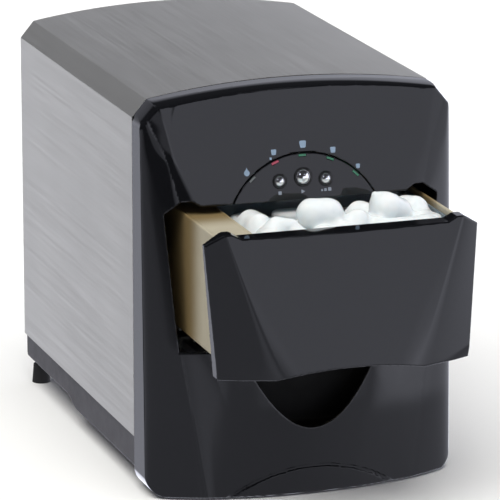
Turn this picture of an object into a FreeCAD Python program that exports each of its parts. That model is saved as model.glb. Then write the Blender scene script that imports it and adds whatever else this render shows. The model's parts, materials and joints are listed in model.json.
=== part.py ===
import FreeCAD, Part
import Sketcher
import math
import os
from FreeCAD import Placement, Rotation, Vector

# Countertop ice maker with a pull-out ice drawer, in millimetres.
# +Z is up from the surface it stands on, the front faces -Y, and +X is to the right of
# somebody who stands in front of it.
# The origin is on that surface, midway between the front of the drawer in its part-open
# rest place and the rear-most piece.

doc = FreeCAD.newDocument("IceMaker")
sheet = doc.addObject("Spreadsheet::Sheet", "Dims")

DIMENSIONS = [
    # name, value in mm or degrees
    ("body_width", 290.0),          # steel sides, outside
    ("body_depth", 358.0),          # steel wrap, front edge to rear edge
    ("front_edge", -96.77),         # y of the steel wrap's front edge
    ("base_top", 47.0),             # lower edge of the steel sides
    ("shoulder_low", 340.5),        # where the side meets its chamfer
    ("shoulder_high", 356.0),       # where the chamfer meets the crowned top
    ("shoulder_in", 13.0),          # how far the chamfer leans in
    ("crown_top", 367.5),           # highest line of the crowned top
    ("steel", 1.0),                 # sheet thickness of the wrap
    ("skin", 3.5),                  # wall of the moulded fascia
    ("wall", 3.0),                  # wall of the moulded inner parts
    ("fascia_foot", 2.0),           # lower edge of the fascia above the surface
    ("sill", 136.5),                # lower edge of the drawer opening
    ("header", 266.0),              # upper edge of the drawer opening, middle
    ("drawer_out", 102.0),          # how far the drawer is out at rest
    ("drawer_foot", 138.5),         # lower edge of the drawer front
    ("drawer_ear", 267.5),          # top of the drawer front's two ears
    ("drawer_lip", 263.5),          # top of the drawer front between its ears
    ("tub_left", -110.0),
    ("tub_right", 117.0),
    ("tub_depth", 190.0),
    ("tub_floor", 151.0),
    ("tub_top", 260.0),
    ("tub_notch", 11.0),            # how far the tub's right wall stays below its top
    ("basket_top", 255.5),
    ("basket_height", 85.5),
    ("liner_half", 131.0),          # half of the liner's outer width
    ("liner_depth", 171.0),
    ("liner_top", 336.0),
    ("tray_axis_y", 95.0),          # behind the steel's front edge
    ("tray_axis_z", 300.0),
    ("tray_radius", 30.0),
    ("tray_half", 70.0),            # half of the tray's length
    ("finger_radius", 4.0),
    ("fan_x", 62.0),
    ("fan_z", 190.0),
    ("fan_radius", 46.0),
    ("drain_x", -116.0),
    ("drain_z", 40.0),
    ("drain_bore", 4.0),
    ("foot_height", 24.0),
    ("foot_radius", 9.0),
    ("start_radius", 6.1),
    ("small_radius", 4.2),
    ("button_travel", 1.5),
    ("fit_gap", 0.06),              # radial clearance of a shaft in its bearing
    ("free_gap", 0.4),              # clearance between parts that only pass each other
]
D = {}
for row, (name, value) in enumerate(DIMENSIONS, start=1):
    sheet.set(f"A{row}", name)
    sheet.set(f"B{row}", str(value))
    sheet.setAlias(f"B{row}", name)
    D[name] = value
doc.recompute()

F = D["front_edge"]
SUBPARTS = []


# ---------------------------------------------------------------- helpers

def bind(obj, prop, value):
    """Bind one property to the sheet: value is a number or an expression of its names."""
    text = str(value)
    for name in sorted(D, key=len, reverse=True):
        text = replace_word(text, name)
    obj.setExpression(prop, text)


def replace_word(text, name):
    """Put the sheet's name before a whole word."""
    out, start = "", 0
    while True:
        at = text.find(name, start)
        if at < 0:
            return out + text[start:]
        end = at + len(name)
        before = text[at - 1] if at else " "
        after = text[end] if end < len(text) else " "
        whole = not (before.isalnum() or before in "_.") and not (after.isalnum() or after == "_")
        out += text[start:at] + (f"Dims.{name}" if whole else name)
        start = end


def place(obj, at, turn=None):
    """Bind an object's place, and turn it by (axis, degrees)."""
    if turn:
        obj.Placement = Placement(Vector(), Rotation(Vector(*turn[0]), turn[1]))
    for axis, value in zip("xyz", at):
        bind(obj, f"Placement.Base.{axis}", value)
    return obj


def keep(obj, label):
    """Make an object one of the named sub-parts."""
    obj.Label = label
    SUBPARTS.append(obj)
    return obj


def box(size, at):
    obj = doc.addObject("Part::Box", "block")
    for prop, value in zip(("Length", "Width", "Height"), size):
        bind(obj, prop, value)
    return place(obj, at)


TURNS = {"x": ((0, 1, 0), 90), "y": ((1, 0, 0), -90), "z": None}


def rod(radius, length, at, axis="z", turn=None):
    """A cylinder that starts at a point and runs along +axis."""
    obj = doc.addObject("Part::Cylinder", "rod")
    bind(obj, "Radius", radius)
    bind(obj, "Height", length)
    return place(obj, at, turn or TURNS[axis])


def cone(radius1, radius2, length, at, axis="z"):
    obj = doc.addObject("Part::Cone", "taper")
    bind(obj, "Radius1", radius1)
    bind(obj, "Radius2", radius2)
    bind(obj, "Height", length)
    return place(obj, at, TURNS[axis])


def torus(radius, section, at, turn=None, sweep=360):
    obj = doc.addObject("Part::Torus", "hoop")
    bind(obj, "Radius1", radius)
    bind(obj, "Radius2", section)
    obj.Angle3 = sweep
    return place(obj, at, turn)


def fuse(*shapes):
    if len(shapes) == 1:
        return shapes[0]
    obj = doc.addObject("Part::MultiFuse", "joined")
    obj.Shapes = list(shapes)
    return obj


def group(*shapes):
    """Separate solids that share one node."""
    obj = doc.addObject("Part::Compound", "set")
    obj.Links = list(shapes)
    return obj


def cut(base, *tools):
    obj = doc.addObject("Part::Cut", "cut")
    obj.Base = base
    obj.Tool = fuse(*tools)
    return obj


def tube(outer, inner, length, at, axis="z"):
    """A round tube, its bore open at both ends."""
    return cut(rod(outer, length, at, axis), rod(inner, length, at, axis))


def shape_feature(label, shape):
    obj = doc.addObject("Part::Feature", "formed")
    obj.Shape = shape
    return keep(obj, label)


def sketch_on(body, role, curves, name):
    """A sketch on one of the body's own origin planes."""
    sketch = body.newObject("Sketcher::SketchObject", name)
    plane = next(f for f in body.Origin.OriginFeatures if f.Role == role)
    sketch.AttachmentSupport = [(plane, "")]
    sketch.MapMode = "FlatFace"
    sketch.addGeometry(curves, False)
    return sketch


def lines(points):
    """A closed outline of straight lines through (u, v) points."""
    ring = [Vector(u, v, 0) for u, v in points]
    return [Part.LineSegment(a, b) for a, b in zip(ring, ring[1:] + ring[:1])]


def rectangle(u0, v0, u1, v1):
    return lines([(u0, v0), (u1, v0), (u1, v1), (u0, v1)])


def padded(label, role, curves, length, at, reverse=False, holes=None):
    """A PartDesign body: one padded outline, with a through pocket for any holes."""
    body = doc.addObject("PartDesign::Body", "Body")
    pad = body.newObject("PartDesign::Pad", "Pad")
    pad.Profile = sketch_on(body, role, curves, "Outline")
    bind(pad, "Length", length)
    pad.Reversed = reverse
    body.Tip = pad
    doc.recompute()
    if holes:
        pocket = body.newObject("PartDesign::Pocket", "Pocket")
        pocket.Profile = sketch_on(body, role, holes, "Holes")
        pocket.Type = 1
        pocket.Midplane = True
        body.Tip = pocket
        doc.recompute()
        if not body.Shape.Volume < pad.Shape.Volume - 1:
            raise RuntimeError(f"{label}: the pocket cut nothing")
    place(body, at)
    return keep(body, label) if label else body


# ---------------------------------------------------------------- outlines

def crown_z(x, inset=0.0):
    """Height of the crowned top at x."""
    half = D["body_width"] / 2 - D["shoulder_in"]
    rise = D["crown_top"] - D["shoulder_high"]
    radius = (half * half + rise * rise) / (2 * rise)
    return D["crown_top"] - inset - radius + math.sqrt(radius * radius - x * x)


def cabinet_outline(inset, low):
    """Front outline of the cabinet, open at its lower end: points, with the crown as an arc."""
    half = D["body_width"] / 2 - inset
    top_half = half - D["shoulder_in"] + inset * 0.45
    shoulder_low = D["shoulder_low"] - inset * 0.45
    edge_z = crown_z(top_half, inset)
    left = [(-half, low), (-half, shoulder_low), (-top_half, edge_z)]
    right = [(top_half, edge_z), (half, shoulder_low), (half, low)]
    return left, (0.0, crown_z(0, inset)), right


def chain(points):
    pts = [Vector(u, v, 0) for u, v in points]
    return [Part.LineSegment(a, b) for a, b in zip(pts, pts[1:])]


def cabinet_curves(inset, low):
    """The closed outline as sketch curves: two sides, two chamfers and the crown."""
    left, peak, right = cabinet_outline(inset, low)
    arc = Part.Arc(Vector(*left[-1], 0), Vector(*peak, 0), Vector(*right[0], 0))
    return chain(left) + [arc] + chain(right) + chain([right[-1], left[0]])


def wrap_curves(low):
    """The bent sheet: outer outline, inner outline and its two lower edges."""
    left, peak, right = cabinet_outline(0.0, low)
    left_in, peak_in, right_in = cabinet_outline(D["steel"], low)
    arcs = [Part.Arc(Vector(*a, 0), Vector(*b, 0), Vector(*c, 0))
            for a, b, c in ((left[-1], peak, right[0]), (left_in[-1], peak_in, right_in[0]))]
    edges = chain([left[0], left_in[0]]) + chain([right[-1], right_in[-1]])
    return chain(left) + chain(right) + chain(left_in) + chain(right_in) + arcs + edges


def prism(curves, y0, y1):
    """Sweep an X-Z outline along Y."""
    edges = [c.toShape() for c in curves]
    wire = Part.Wire(Part.__sortEdges__(edges))
    face = Part.Face(wire)
    face.rotate(Vector(), Vector(1, 0, 0), 90)
    face.translate(Vector(0, y0, 0))
    return face.extrude(Vector(0, y1 - y0, 0))


def at_height(table, z):
    """Read a value at height z from (z, value) pairs, straight between them."""
    if z <= table[0][0]:
        return table[0][1]
    for (z0, v0), (z1, v1) in zip(table, table[1:]):
        if z <= z1:
            return v0 + (v1 - v0) * (z - z0) / (z1 - z0)
    return table[-1][1]


# How the fascia stands out from the steel's front edge, by height.
CENTRE_OUT = [(2, 74), (75, 74), (137, 70), (271, 50), (353, 33), (370, 29)]
CREASE_X = [(2, 97), (75, 108.5), (137, 118.5), (271, 129), (309, 134), (343, 142), (370, 143.5)]
CREASE_OUT = [(2, 61), (75, 58), (137, 52), (271, 39), (309, 34), (343, 27), (370, 22)]
FACE_X = [(2, 60), (137, 70), (271, 112.3), (353, 128.4), (370, 131)]
FACE_OUT = [(2, 70), (75, 69.5), (137, 66), (271, 46), (353, 29.5), (370, 26)]
SIDE_OUT = [(2, 32), (318, 23.5), (370, 20)]
SECTION_HEIGHTS = [1.0, 75.0, 137.0, 271.0, 309.0, 343.0, 370.0]


def fascia_section(z, inset):
    """One horizontal section of the fascia's outer form, set in by a wall."""
    half = D["body_width"] / 2 - inset
    side = at_height(SIDE_OUT, z)
    corner = (at_height(CREASE_X, z) - inset, at_height(CREASE_OUT, z) - inset)
    face = (at_height(FACE_X, z) - inset * 0.5, at_height(FACE_OUT, z) - inset)
    centre = at_height(CENTRE_OUT, z) - inset
    span = half - corner[0]

    def p(x, out):
        return Vector(x, F - out, z)

    edges = []
    for sign in (-1, 1):
        knots = [p(sign * corner[0], corner[1]),
                 p(sign * (corner[0] + 0.55 * span), corner[1] - 0.2 * span),
                 p(sign * half, side + 0.45 * (corner[1] - side)),
                 p(sign * half, side)]
        bend = Part.BezierCurve()
        bend.setPoles(knots if sign > 0 else knots[::-1])
        facet = Part.LineSegment(p(sign * face[0], face[1]), p(sign * corner[0], corner[1]))
        flank = Part.LineSegment(p(sign * half, side), p(sign * half, 0))
        edges.append((flank, bend, facet))
    arc = Part.Arc(p(-face[0], face[1]), p(0, centre), p(face[0], face[1]))
    (flank_l, bend_l, facet_l), (flank_r, bend_r, facet_r) = edges
    back = Part.LineSegment(p(half, 0), p(-half, 0))
    order = [flank_l, bend_l, facet_l, arc, facet_r, bend_r, flank_r, back]
    return Part.Wire(Part.__sortEdges__([c.toShape() for c in order]))


def fascia_form(inset):
    """The solid between the fascia's front surface and the steel's front edge."""
    return Part.makeLoft([fascia_section(z, inset) for z in SECTION_HEIGHTS], True, True)


def fascia_outline(inset):
    """Front outline of the fascia, with rounded lower corners."""
    low = D["fascia_foot"] + inset
    left, peak, right = cabinet_outline(inset, low)
    radius = 16.0
    half = D["body_width"] / 2 - inset
    diagonal = radius * (1 - math.sqrt(0.5))
    arc = Part.Arc(Vector(*left[-1], 0), Vector(*peak, 0), Vector(*right[0], 0))
    curves = [arc]
    for sign, side in ((-1, left[1:]), (1, right[:-1])):
        upper = side if sign > 0 else side[::-1]
        curves += chain(upper + [(sign * half, low + radius)])
        curves.append(Part.Arc(Vector(sign * half, low + radius, 0),
                               Vector(sign * (half - diagonal), low + diagonal, 0),
                               Vector(sign * (half - radius), low, 0)))
    curves += chain([(half - radius, low), (radius - half, low)])
    return curves


def opening_points(grow):
    """The drawer opening in the fascia, as half an outline mirrored."""
    sill, header = D["sill"] - grow, D["header"] + grow
    right = [(118.2 + grow, sill), (127.8 + grow, 260.0), (112.5 + grow, 270.5 + grow),
             (104.0, 270.5 + grow), (97.0, header)]
    return right + [(-x, z) for x, z in reversed(right)]


def arc_segment(half, low, high):
    """A low arch between (-half, low) and (half, low) that peaks at high."""
    arc = Part.Arc(Vector(-half, low, 0), Vector(0, high, 0), Vector(half, low, 0))
    return [arc] + chain([(half, low), (-half, low)])


def scoop_curves():
    """The finger scoop's mouth: a parabola that hangs from the drawer opening."""
    half, low, high = 67.0, 63.0, D["sill"] + 0.5
    mouth = Part.BezierCurve()
    mouth.setPoles([Vector(-half, high, 0), Vector(0, 2 * low - high, 0), Vector(half, high, 0)])
    return [mouth] + chain([(half, high), (-half, high)])


CUP_HALF, CUP_LOW, CUP_BACK = 70.0, 59.0, 40.0


def cup_curves(grow):
    """The dark cup behind the scoop's mouth."""
    half = CUP_HALF + grow
    return rectangle(-half, CUP_LOW - grow, half, D["sill"] + 0.5)


ARCH_X, ARCH_Z, ARCH_RADIUS = -1.0, 232.7, 74.8


def arch_curves(shrink, low):
    """The control panel: a round arch that stands on the header of the opening."""
    radius = ARCH_RADIUS - shrink
    half = math.sqrt(radius ** 2 - (low - ARCH_Z) ** 2)
    ends = (ARCH_X - half, low), (ARCH_X + half, low)
    arc = Part.Arc(Vector(*ends[0], 0), Vector(ARCH_X, ARCH_Z + radius, 0), Vector(*ends[1], 0))
    return [arc] + chain(ends[::-1])


FACE_LEAN = math.degrees(math.atan2(50.0 - 33.0, 353.0 - 271.0))


def face_y(z):
    """y of the upper face's middle line at height z."""
    return F - at_height(CENTRE_OUT, z)


# ---------------------------------------------------------------- outer case

def make_cabinet_wrap():
    padded("cabinet_wrap", "XZ_Plane", wrap_curves(D["base_top"]), "body_depth",
           (0, "front_edge", 0), reverse=True)


def make_front_fascia():
    outer, inner = fascia_form(0.0), fascia_form(D["skin"])
    front, back = F - 100, F + 1
    shell = outer.common(prism(fascia_outline(0.0), front, F))
    hollow = inner.common(prism(fascia_outline(D["skin"]), front, back))
    hollow = hollow.fuse(prism(fascia_outline(D["skin"]), F - 5, back))
    shell = shell.cut(hollow)
    jambs = prism(lines(opening_points(3.0)), front, F)
    cup = inner.common(prism(cup_curves(0.0), front, F - CUP_BACK))
    cup_wall = outer.common(prism(cup_curves(D["wall"]), front, F - CUP_BACK + D["wall"]))
    shell = shell.fuse([outer.common(jambs), cup_wall])
    arch_low = D["header"] - 1.0
    kick = arc_segment(78.0, D["fascia_foot"] - 1.0, 27.0)
    kick_recess = prism(kick, front, F).cut(fascia_form(1.4))
    for tool in (prism(lines(opening_points(0.0)), front, back),
                 prism(scoop_curves(), front, F - CUP_BACK),
                 cup,
                 prism(arch_curves(0.0, arch_low), front, F - 10),
                 kick_recess):
        shell = shell.cut(tool)
    shape_feature("front_fascia", shell.removeSplitter())


BUTTONS = [("stop_button", -23.6, 283.9, "small_radius"),
           ("start_button", -1.6, 286.1, "start_radius"),
           ("ice_size_button", 19.4, 283.2, "small_radius")]
BEZEL_WALL = 2.0
LENS_ANGLES = (-41.0, -20.8, 0.0, 21.0, 42.9)
LENS_RADIUS, LENS_LONG, LENS_WIDE = 72.2, 6.8, 1.8


def lens_places():
    """Where the five indicator lenses sit, just inside the arch: x, z and turn in degrees."""
    return [(ARCH_X + LENS_RADIUS * math.sin(math.radians(a)),
             ARCH_Z + LENS_RADIUS * math.cos(math.radians(a)), a) for a in LENS_ANGLES]


def on_face(shape, x, z, out=0.0):
    """Lay a shape that stands on +Z onto the leaning upper face."""
    shape = shape.copy()
    shape.rotate(Vector(), Vector(1, 0, 0), 90 - FACE_LEAN)
    lean = math.radians(FACE_LEAN)
    shape.translate(Vector(x, face_y(z) - out * math.cos(lean), z + out * math.sin(lean)))
    return shape


def make_control_panel():
    gap = 0.7
    panel = fascia_form(0.0).common(prism(arch_curves(gap, D["header"] + 0.5), F - 100, F - 10))
    panel = panel.cut(fascia_form(D["skin"]))
    for _, x, z, size in BUTTONS:
        panel = panel.cut(on_face(Part.makeCylinder(D[size] + BEZEL_WALL + 0.1, 20), x, z, -10))
    for x, z, angle in lens_places():
        long, wide = LENS_LONG + 0.1, LENS_WIDE + 0.1
        slot = Part.makeBox(long, wide, 20, Vector(-long / 2, -wide / 2, 0))
        slot.rotate(Vector(), Vector(0, 0, 1), -angle)
        panel = panel.cut(on_face(slot, x, z, -10))
    shape_feature("control_panel", panel)


def leaning(obj, x, z, out):
    """Place a parametric round piece on the upper face, its +Z pointing out of it."""
    lean = math.radians(FACE_LEAN)
    turn = ((1, 0, 0), 90 - FACE_LEAN)
    return place(obj, (x, face_y(z) - out * math.cos(lean), z + out * math.sin(lean)), turn)


def lens_sink(x):
    """How far the bowed face falls behind its middle line at x."""
    return x * x / 3200.0


def make_bezels_and_lenses():
    rings = []
    for _, x, z, size in BUTTONS:
        outer = leaning(rod(f"{size} + {BEZEL_WALL}", 6.0, (0, 0, 0)), x, z, -5.0)
        inner = leaning(rod(f"{size} + free_gap", 8.0, (0, 0, 0)), x, z, -6.0)
        rings.append(cut(outer, inner))
    keep(group(*rings), "button_bezels")
    lenses = []
    for x, z, angle in lens_places():
        lens = box((LENS_LONG, LENS_WIDE, 3.0), (0, 0, 0))
        turn = Rotation(Vector(1, 0, 0), 90 - FACE_LEAN).multiply(Rotation(Vector(0, 0, 1), -angle))
        corner = turn.multVec(Vector(-LENS_LONG / 2, -LENS_WIDE / 2, -3.3 - lens_sink(x)))
        place(lens, (x + corner.x, face_y(z) + corner.y, z + corner.z))
        lens.Placement = Placement(lens.Placement.Base, turn)
        lenses.append(lens)
    keep(group(*lenses), "indicator_lenses")


def make_buttons():
    for label, x, z, size in BUTTONS:
        stem = leaning(rod(f"{size} * 0.55", 6.0, (0, 0, 0)), x, z, -8.0)
        cap = leaning(rod(size, 3.4, (0, 0, 0)), x, z, -2.2)
        dome = doc.addObject("Part::Sphere", "dome")
        bind(dome, "Radius", f"{size} * 1.25")
        dome.Angle1 = 53.13
        leaning(dome, x, z, 1.2 - D[size])
        keep(fuse(stem, cap, dome), label)


def make_display_board():
    lean = math.radians(FACE_LEAN)
    board = box((118, 30, 1.6), (0, 0, 0))
    middle = 283.0
    deep = 11.8
    place(board, (-59, face_y(middle) + deep * math.cos(lean) + 15 * math.sin(lean),
                  middle - deep * math.sin(lean) - 15 * math.cos(lean)), ((1, 0, 0), 90 - FACE_LEAN))
    keep(board, "display_board")
    switches = [leaning(rod(3.0, 1.6, (0, 0, 0)), x, z, -11.7) for _, x, z, _ in BUTTONS]
    keep(group(*switches), "tact_switches")


def make_base_pan():
    half = 143.6
    skirt = box((2 * half, "body_depth - 1", "base_top - 16.2"), (-half, "front_edge + 0.5", 16.2))
    above = box((2 * half - 6, "body_depth - 7", 40), (3 - half, "front_edge + 3.5", 27.2))
    below = box((2 * half - 6, "body_depth - 7", 8.2), (3 - half, "front_edge + 3.5", 16.0))
    step = padded(None, "YZ_Plane", lines([(196, 10), (212, 24), (400, 24), (400, 10)]),
                  400, (-200, "front_edge", 0))
    vents = [box((60, 4, 10), (x, f"front_edge + {y}", 20))
             for x in (10, 78) for y in range(215, 330, 12)]
    drain_hole = rod("drain_bore + 2.3", 8, ("drain_x", "front_edge + body_depth - 6", "drain_z"), "y")
    keep(cut(skirt, above, below, step, drain_hole, *vents), "base_pan")


FEET = [(-112, 24), (112, 24), (-132, 346), (132, 346)]


def make_feet():
    feet = []
    for x, y in FEET:
        foot = cone("foot_radius", "foot_radius - 1.5", 18, (x, f"front_edge + {y}", 0))
        neck = rod("foot_radius - 4", "foot_height - 17", (x, f"front_edge + {y}", 17))
        feet.append(fuse(foot, neck))
    keep(group(*feet), "rubber_feet")


VENT_ROWS = range(0, 9)


def make_rear_panel():
    holes = [Part.Circle(Vector(D["fan_x"], D["fan_z"], 0), Vector(0, 0, 1), D["fan_radius"] + 5)]
    for row in VENT_ROWS:
        for x in (-118, -88, -58, -28):
            z = 215 + row * 12
            holes += rectangle(x, z, x + 24, z + 4.5)
    for row in range(4):
        z = 275 + row * 12
        for x in (22, 52, 82):
            holes += rectangle(x, z, x + 24, z + 4.5)
    holes += rectangle(-112, 72, -68, 98)
    padded("rear_panel", "XZ_Plane", cabinet_curves(1.3, D["base_top"] + 0.5), 1.2,
           (0, "front_edge + body_depth - 3.2", 0), reverse=True, holes=holes)


def make_fan_guard():
    y = "front_edge + body_depth - 2"
    rings = [tube(r, r - 2, 3, ("fan_x", y, "fan_z"), "y") for r in (30, 40, 55)]
    hub = rod(20, 3, ("fan_x", y, "fan_z"), "y")
    bars = []
    for angle in (45, 135):
        bar = box((106, 3, 3), (0, 0, 0))
        c, s = math.cos(math.radians(angle)), math.sin(math.radians(angle))
        place(bar, (f"fan_x - {53 * c} + {1.5 * s}", y, f"fan_z - {53 * s} - {1.5 * c}"),
              ((0, -1, 0), angle))
        bars.append(bar)
    keep(fuse(hub, *rings, *bars), "fan_guard")


PANEL_SCREWS = [(-132, 60), (132, 60), (-132, 190), (132, 190), (-132, 325), (132, 325), (0, 350), (0, 60)]


def make_rear_screws():
    screws = []
    for x, z in PANEL_SCREWS:
        screws.append(rod(3.4, 1.8, (x, "front_edge + body_depth - 2", z), "y"))
    keep(group(*screws), "rear_screws")


def make_power_inlet():
    y = "front_edge + body_depth - 2"
    flange = box((50, 2.5, 32), (-115, y, 69))
    shell = box((43, 26, 25), (-111.5, "front_edge + body_depth - 26", 72.5))
    socket = box((35, 22, 17), (-107.5, "front_edge + body_depth - 20", 76.5))
    keep(cut(fuse(flange, shell), socket), "power_inlet")
    pins = [box((1.8, 14, 5), (x, "front_edge + body_depth - 20", 82.5)) for x in (-97.9, -90.9, -83.9)]
    keep(group(*pins), "inlet_pins")


# ---------------------------------------------------------------- drawer

DRAWER_FOOT_X, DRAWER_TOP_X = 67.5, 109.5
DRAWER_SCREWS = [(x, z) for x in (-60, 100) for z in (175, 240)]


def drawer_section(z, inset):
    """One horizontal section of the drawer front, closed place, set in by a wall."""
    t = (z - D["drawer_foot"]) / (D["drawer_ear"] - D["drawer_foot"])
    edge = (116.2 + 10.2 * t - inset, 50.5 - 8.5 * t - inset)
    crease = (DRAWER_FOOT_X + (DRAWER_TOP_X - DRAWER_FOOT_X) * t - inset * 0.4, 67.0 - 16.0 * t - inset)
    centre = 76.0 - 20.0 * t - inset
    back = 36.0

    def p(x, out):
        return Vector(x, F - out, z)

    arc = Part.Arc(p(-crease[0], crease[1]), p(0, centre), p(crease[0], crease[1]))
    rest = [p(*crease), p(*edge), p(edge[0], back), p(-edge[0], back), p(-edge[0], edge[1]),
            p(-crease[0], crease[1])]
    straight = [Part.LineSegment(a, b) for a, b in zip(rest, rest[1:])]
    return Part.Wire(Part.__sortEdges__([c.toShape() for c in [arc] + straight]))


def drawer_form(inset):
    """The solid behind the drawer front's outer surface."""
    heights = (D["drawer_foot"] - 4, D["drawer_ear"] + 4)
    return Part.makeLoft([drawer_section(z, inset) for z in heights], True, True)


def drawer_outline(inset):
    """Front outline of the drawer front: two ears, a dipped lip and an arched foot."""
    foot, ear, lip = D["drawer_foot"] + inset, D["drawer_ear"] - inset, D["drawer_lip"] - inset
    right = [(DRAWER_FOOT_X, foot), (116.2 - inset, foot), (125.7 - inset, 257.5),
             (110.0 - inset * 0.5, ear), (103.0, ear), (95.0, lip)]
    left = [(-x, z) for x, z in reversed(right)]
    foot_arc = Part.Arc(Vector(-DRAWER_FOOT_X, foot, 0), Vector(0, foot + 8.0, 0),
                        Vector(DRAWER_FOOT_X, foot, 0))
    return [foot_arc] + chain(right + left)


def make_drawer_front():
    outer = drawer_form(0.0).common(prism(drawer_outline(0.0), F - 100, F - 36.5))
    hollow = drawer_form(D["skin"]).common(prism(drawer_outline(D["skin"]), F - 100, F - 30))
    shell = outer.cut(hollow)
    shell.translate(Vector(0, -D["drawer_out"], 0))
    shape_feature("drawer_front", shell)


def make_drawer_backing():
    ear, lip, foot = D["drawer_ear"] - 4.2, D["drawer_lip"] - 4.2, D["drawer_foot"] + 12.5
    right = [(111.5, foot), (120.0, 256.0), (108.0, ear), (104.0, ear), (94.0, lip)]
    holes = [Part.Circle(Vector(x, z, 0), Vector(0, 0, 1), 2.1) for x, z in DRAWER_SCREWS]
    padded("drawer_backing", "XZ_Plane", lines(right + [(-x, z) for x, z in reversed(right)]),
           2.4, (0, "front_edge - drawer_out - 39.2", 0), reverse=True, holes=holes)


LEDGE = 35.0                     # width of the hollow insulated wall on the tub's left


def make_drawer_tub():
    y = "front_edge - drawer_out - 36.2"
    width = "tub_right - tub_left"
    height = "tub_top - tub_floor"
    outer = box((width, "tub_depth", height), ("tub_left", y, "tub_floor"))
    well = box((f"{width} - {LEDGE} - wall", "tub_depth - 2 * wall", height),
               (f"tub_left + {LEDGE}", f"{y} + wall", "tub_floor + wall"))
    jacket = box((f"{LEDGE} - 2 * wall", "tub_depth - 2 * wall", f"{height} - wall"),
                 ("tub_left + wall", f"{y} + wall", "tub_floor - 1"))
    notch = box(("wall + 1", "tub_depth - 2 * wall", "tub_notch + 1"),
                ("tub_right - wall", f"{y} + wall", "tub_top - tub_notch"))
    holes = [rod(2.1, 6, (x, f"{y} - 1", z), "y") for x, z in DRAWER_SCREWS]
    keep(cut(outer, well, jacket, notch, *holes), "drawer_tub")


RUNNER_X = (-92.0, 99.0)


def make_runners_and_rails():
    y = "front_edge - drawer_out - 30"
    runners = [box((8, 176, 7.7), (x - 4, y, "tub_floor - 7.7")) for x in RUNNER_X]
    keep(group(*runners), "drawer_runners")
    rails = []
    for x in RUNNER_X:
        channel = box((16, 158, 10), (x - 8, "front_edge + 6", "sill + 3.2"))
        slot = box((10, 160, 10), (x - 5, "front_edge + 5", "sill + 5.7"))
        rails.append(cut(channel, slot))
    keep(group(*rails), "drawer_rails")
    screws = []
    for x, z in DRAWER_SCREWS:
        shank = rod(2.0, 6.2, (x, "front_edge - drawer_out - 39", z), "y")
        head = rod(4.0, 1.8, (x, "front_edge - drawer_out - 33.2", z), "y")
        screws.append(fuse(shank, head))
    keep(group(*screws), "drawer_screws")


def tapered_box(x, y, z, width, depth, height, draft):
    """A box that widens upwards by the draft on each side; x, y, z is its lower corner at the top size."""
    obj = doc.addObject("Part::Wedge", "tapered")
    obj.Xmin, obj.Ymin, obj.Zmin, obj.X2min, obj.Z2min = draft, 0, draft, 0, 0
    values = {"Xmax": f"{width} - {draft}", "Zmax": f"{depth} - {draft}", "X2max": width,
              "Z2max": depth, "Ymax": height}
    for prop, value in values.items():
        bind(obj, prop, value)
    place(obj, (x, f"{y} + {depth}", z), ((1, 0, 0), 90))
    return obj


def make_ice_basket():
    x, y, width, depth = "tub_left + 37", "front_edge - drawer_out - 30.5", 186, 140
    z = "basket_top - basket_height"
    outer = tapered_box(x, y, z, width, depth, "basket_height", 7)
    inner = tapered_box(f"{x} + 2", f"{y} + 2", f"{z} + 2", width - 4, depth - 4, "basket_height", 7)
    slots = [box((3, 90, 4), (-60 + 12 * i, f"{y} + 25", f"{z} - 1")) for i in range(14)]
    keep(cut(outer, inner, *slots), "ice_basket")


# ---------------------------------------------------------------- ice chamber

def make_inner_liner():
    outer = box(("2 * liner_half", "liner_depth", "liner_top - sill + 3.5"),
                ("-liner_half", "front_edge + 1", "sill - 3.5"))
    inner = box(("2 * liner_half - 2 * wall", "liner_depth", "liner_top - sill - 3"),
                ("wall - liner_half", "front_edge + 1 - wall", "sill"))
    window = box((124, 44, 10), (-62, "front_edge + tray_axis_y - 22", "liner_top - 6"))
    keep(cut(outer, inner, window), "inner_liner")
    pads = [box((8, long, 190), (sx, "front_edge + 6", 140)) for sx, long in ((-139.5, 158), (131.5, 142))]
    pads.append(box((250, 6, 190), (-125, "front_edge + 172.6", 140)))
    keep(group(*pads), "foam_insulation")


FINGER_XS = (-48, -24, 0, 24, 48)
FINGER_YS = (-9, 9)


def make_evaporator():
    y0 = "front_edge + tray_axis_y"
    plate = box((136, 56, 4), (-68, f"{y0} - 28", "liner_top + 0.2"))
    keep(plate, "evaporator_plate")
    fingers = []
    for x in FINGER_XS:
        for dy in FINGER_YS:
            low = (x, f"{y0} + {dy}", "tray_axis_z - 15.8")
            tip = doc.addObject("Part::Sphere", "tip")
            bind(tip, "Radius", "finger_radius")
            place(tip, low)
            fingers.append(fuse(rod("finger_radius", "liner_top - tray_axis_z + 16", low), tip))
    keep(group(*fingers), "evaporator_fingers")
    coil = serpentine(3.2, 110, 18, 3, (-55, f"{y0} - 18", "liner_top + 7.5"), "flat")
    keep(coil, "evaporator_coil")


def serpentine(section, run, pitch, rows, at, lie):
    """A tube that runs to and fro along X, its rows stacked along Y (flat) or up Z (upright)."""
    x, y, z = at
    parts = []
    for i in range(rows):
        step = i * pitch
        row_at = (x, f"{y} + {step}", z) if lie == "flat" else (x, y, f"{z} + {step}")
        parts.append(rod(section, run, row_at, "x"))
        if i < rows - 1:
            right = i % 2 == 0
            mid = step + pitch / 2
            end_x = f"{x} + {run}" if right else x
            bend_at = (end_x, f"{y} + {mid}", z) if lie == "flat" else (end_x, y, f"{z} + {mid}")
            tilt = Rotation(Vector(1, 0, 0), 0 if lie == "flat" else 90)
            spin = Rotation(Vector(0, 0, 1), -90 if right else 90)
            bend = torus(pitch / 2, section, bend_at, sweep=180)
            bend.Placement = Placement(bend.Placement.Base, tilt.multiply(spin))
            parts.append(bend)
    return fuse(*parts)


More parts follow.
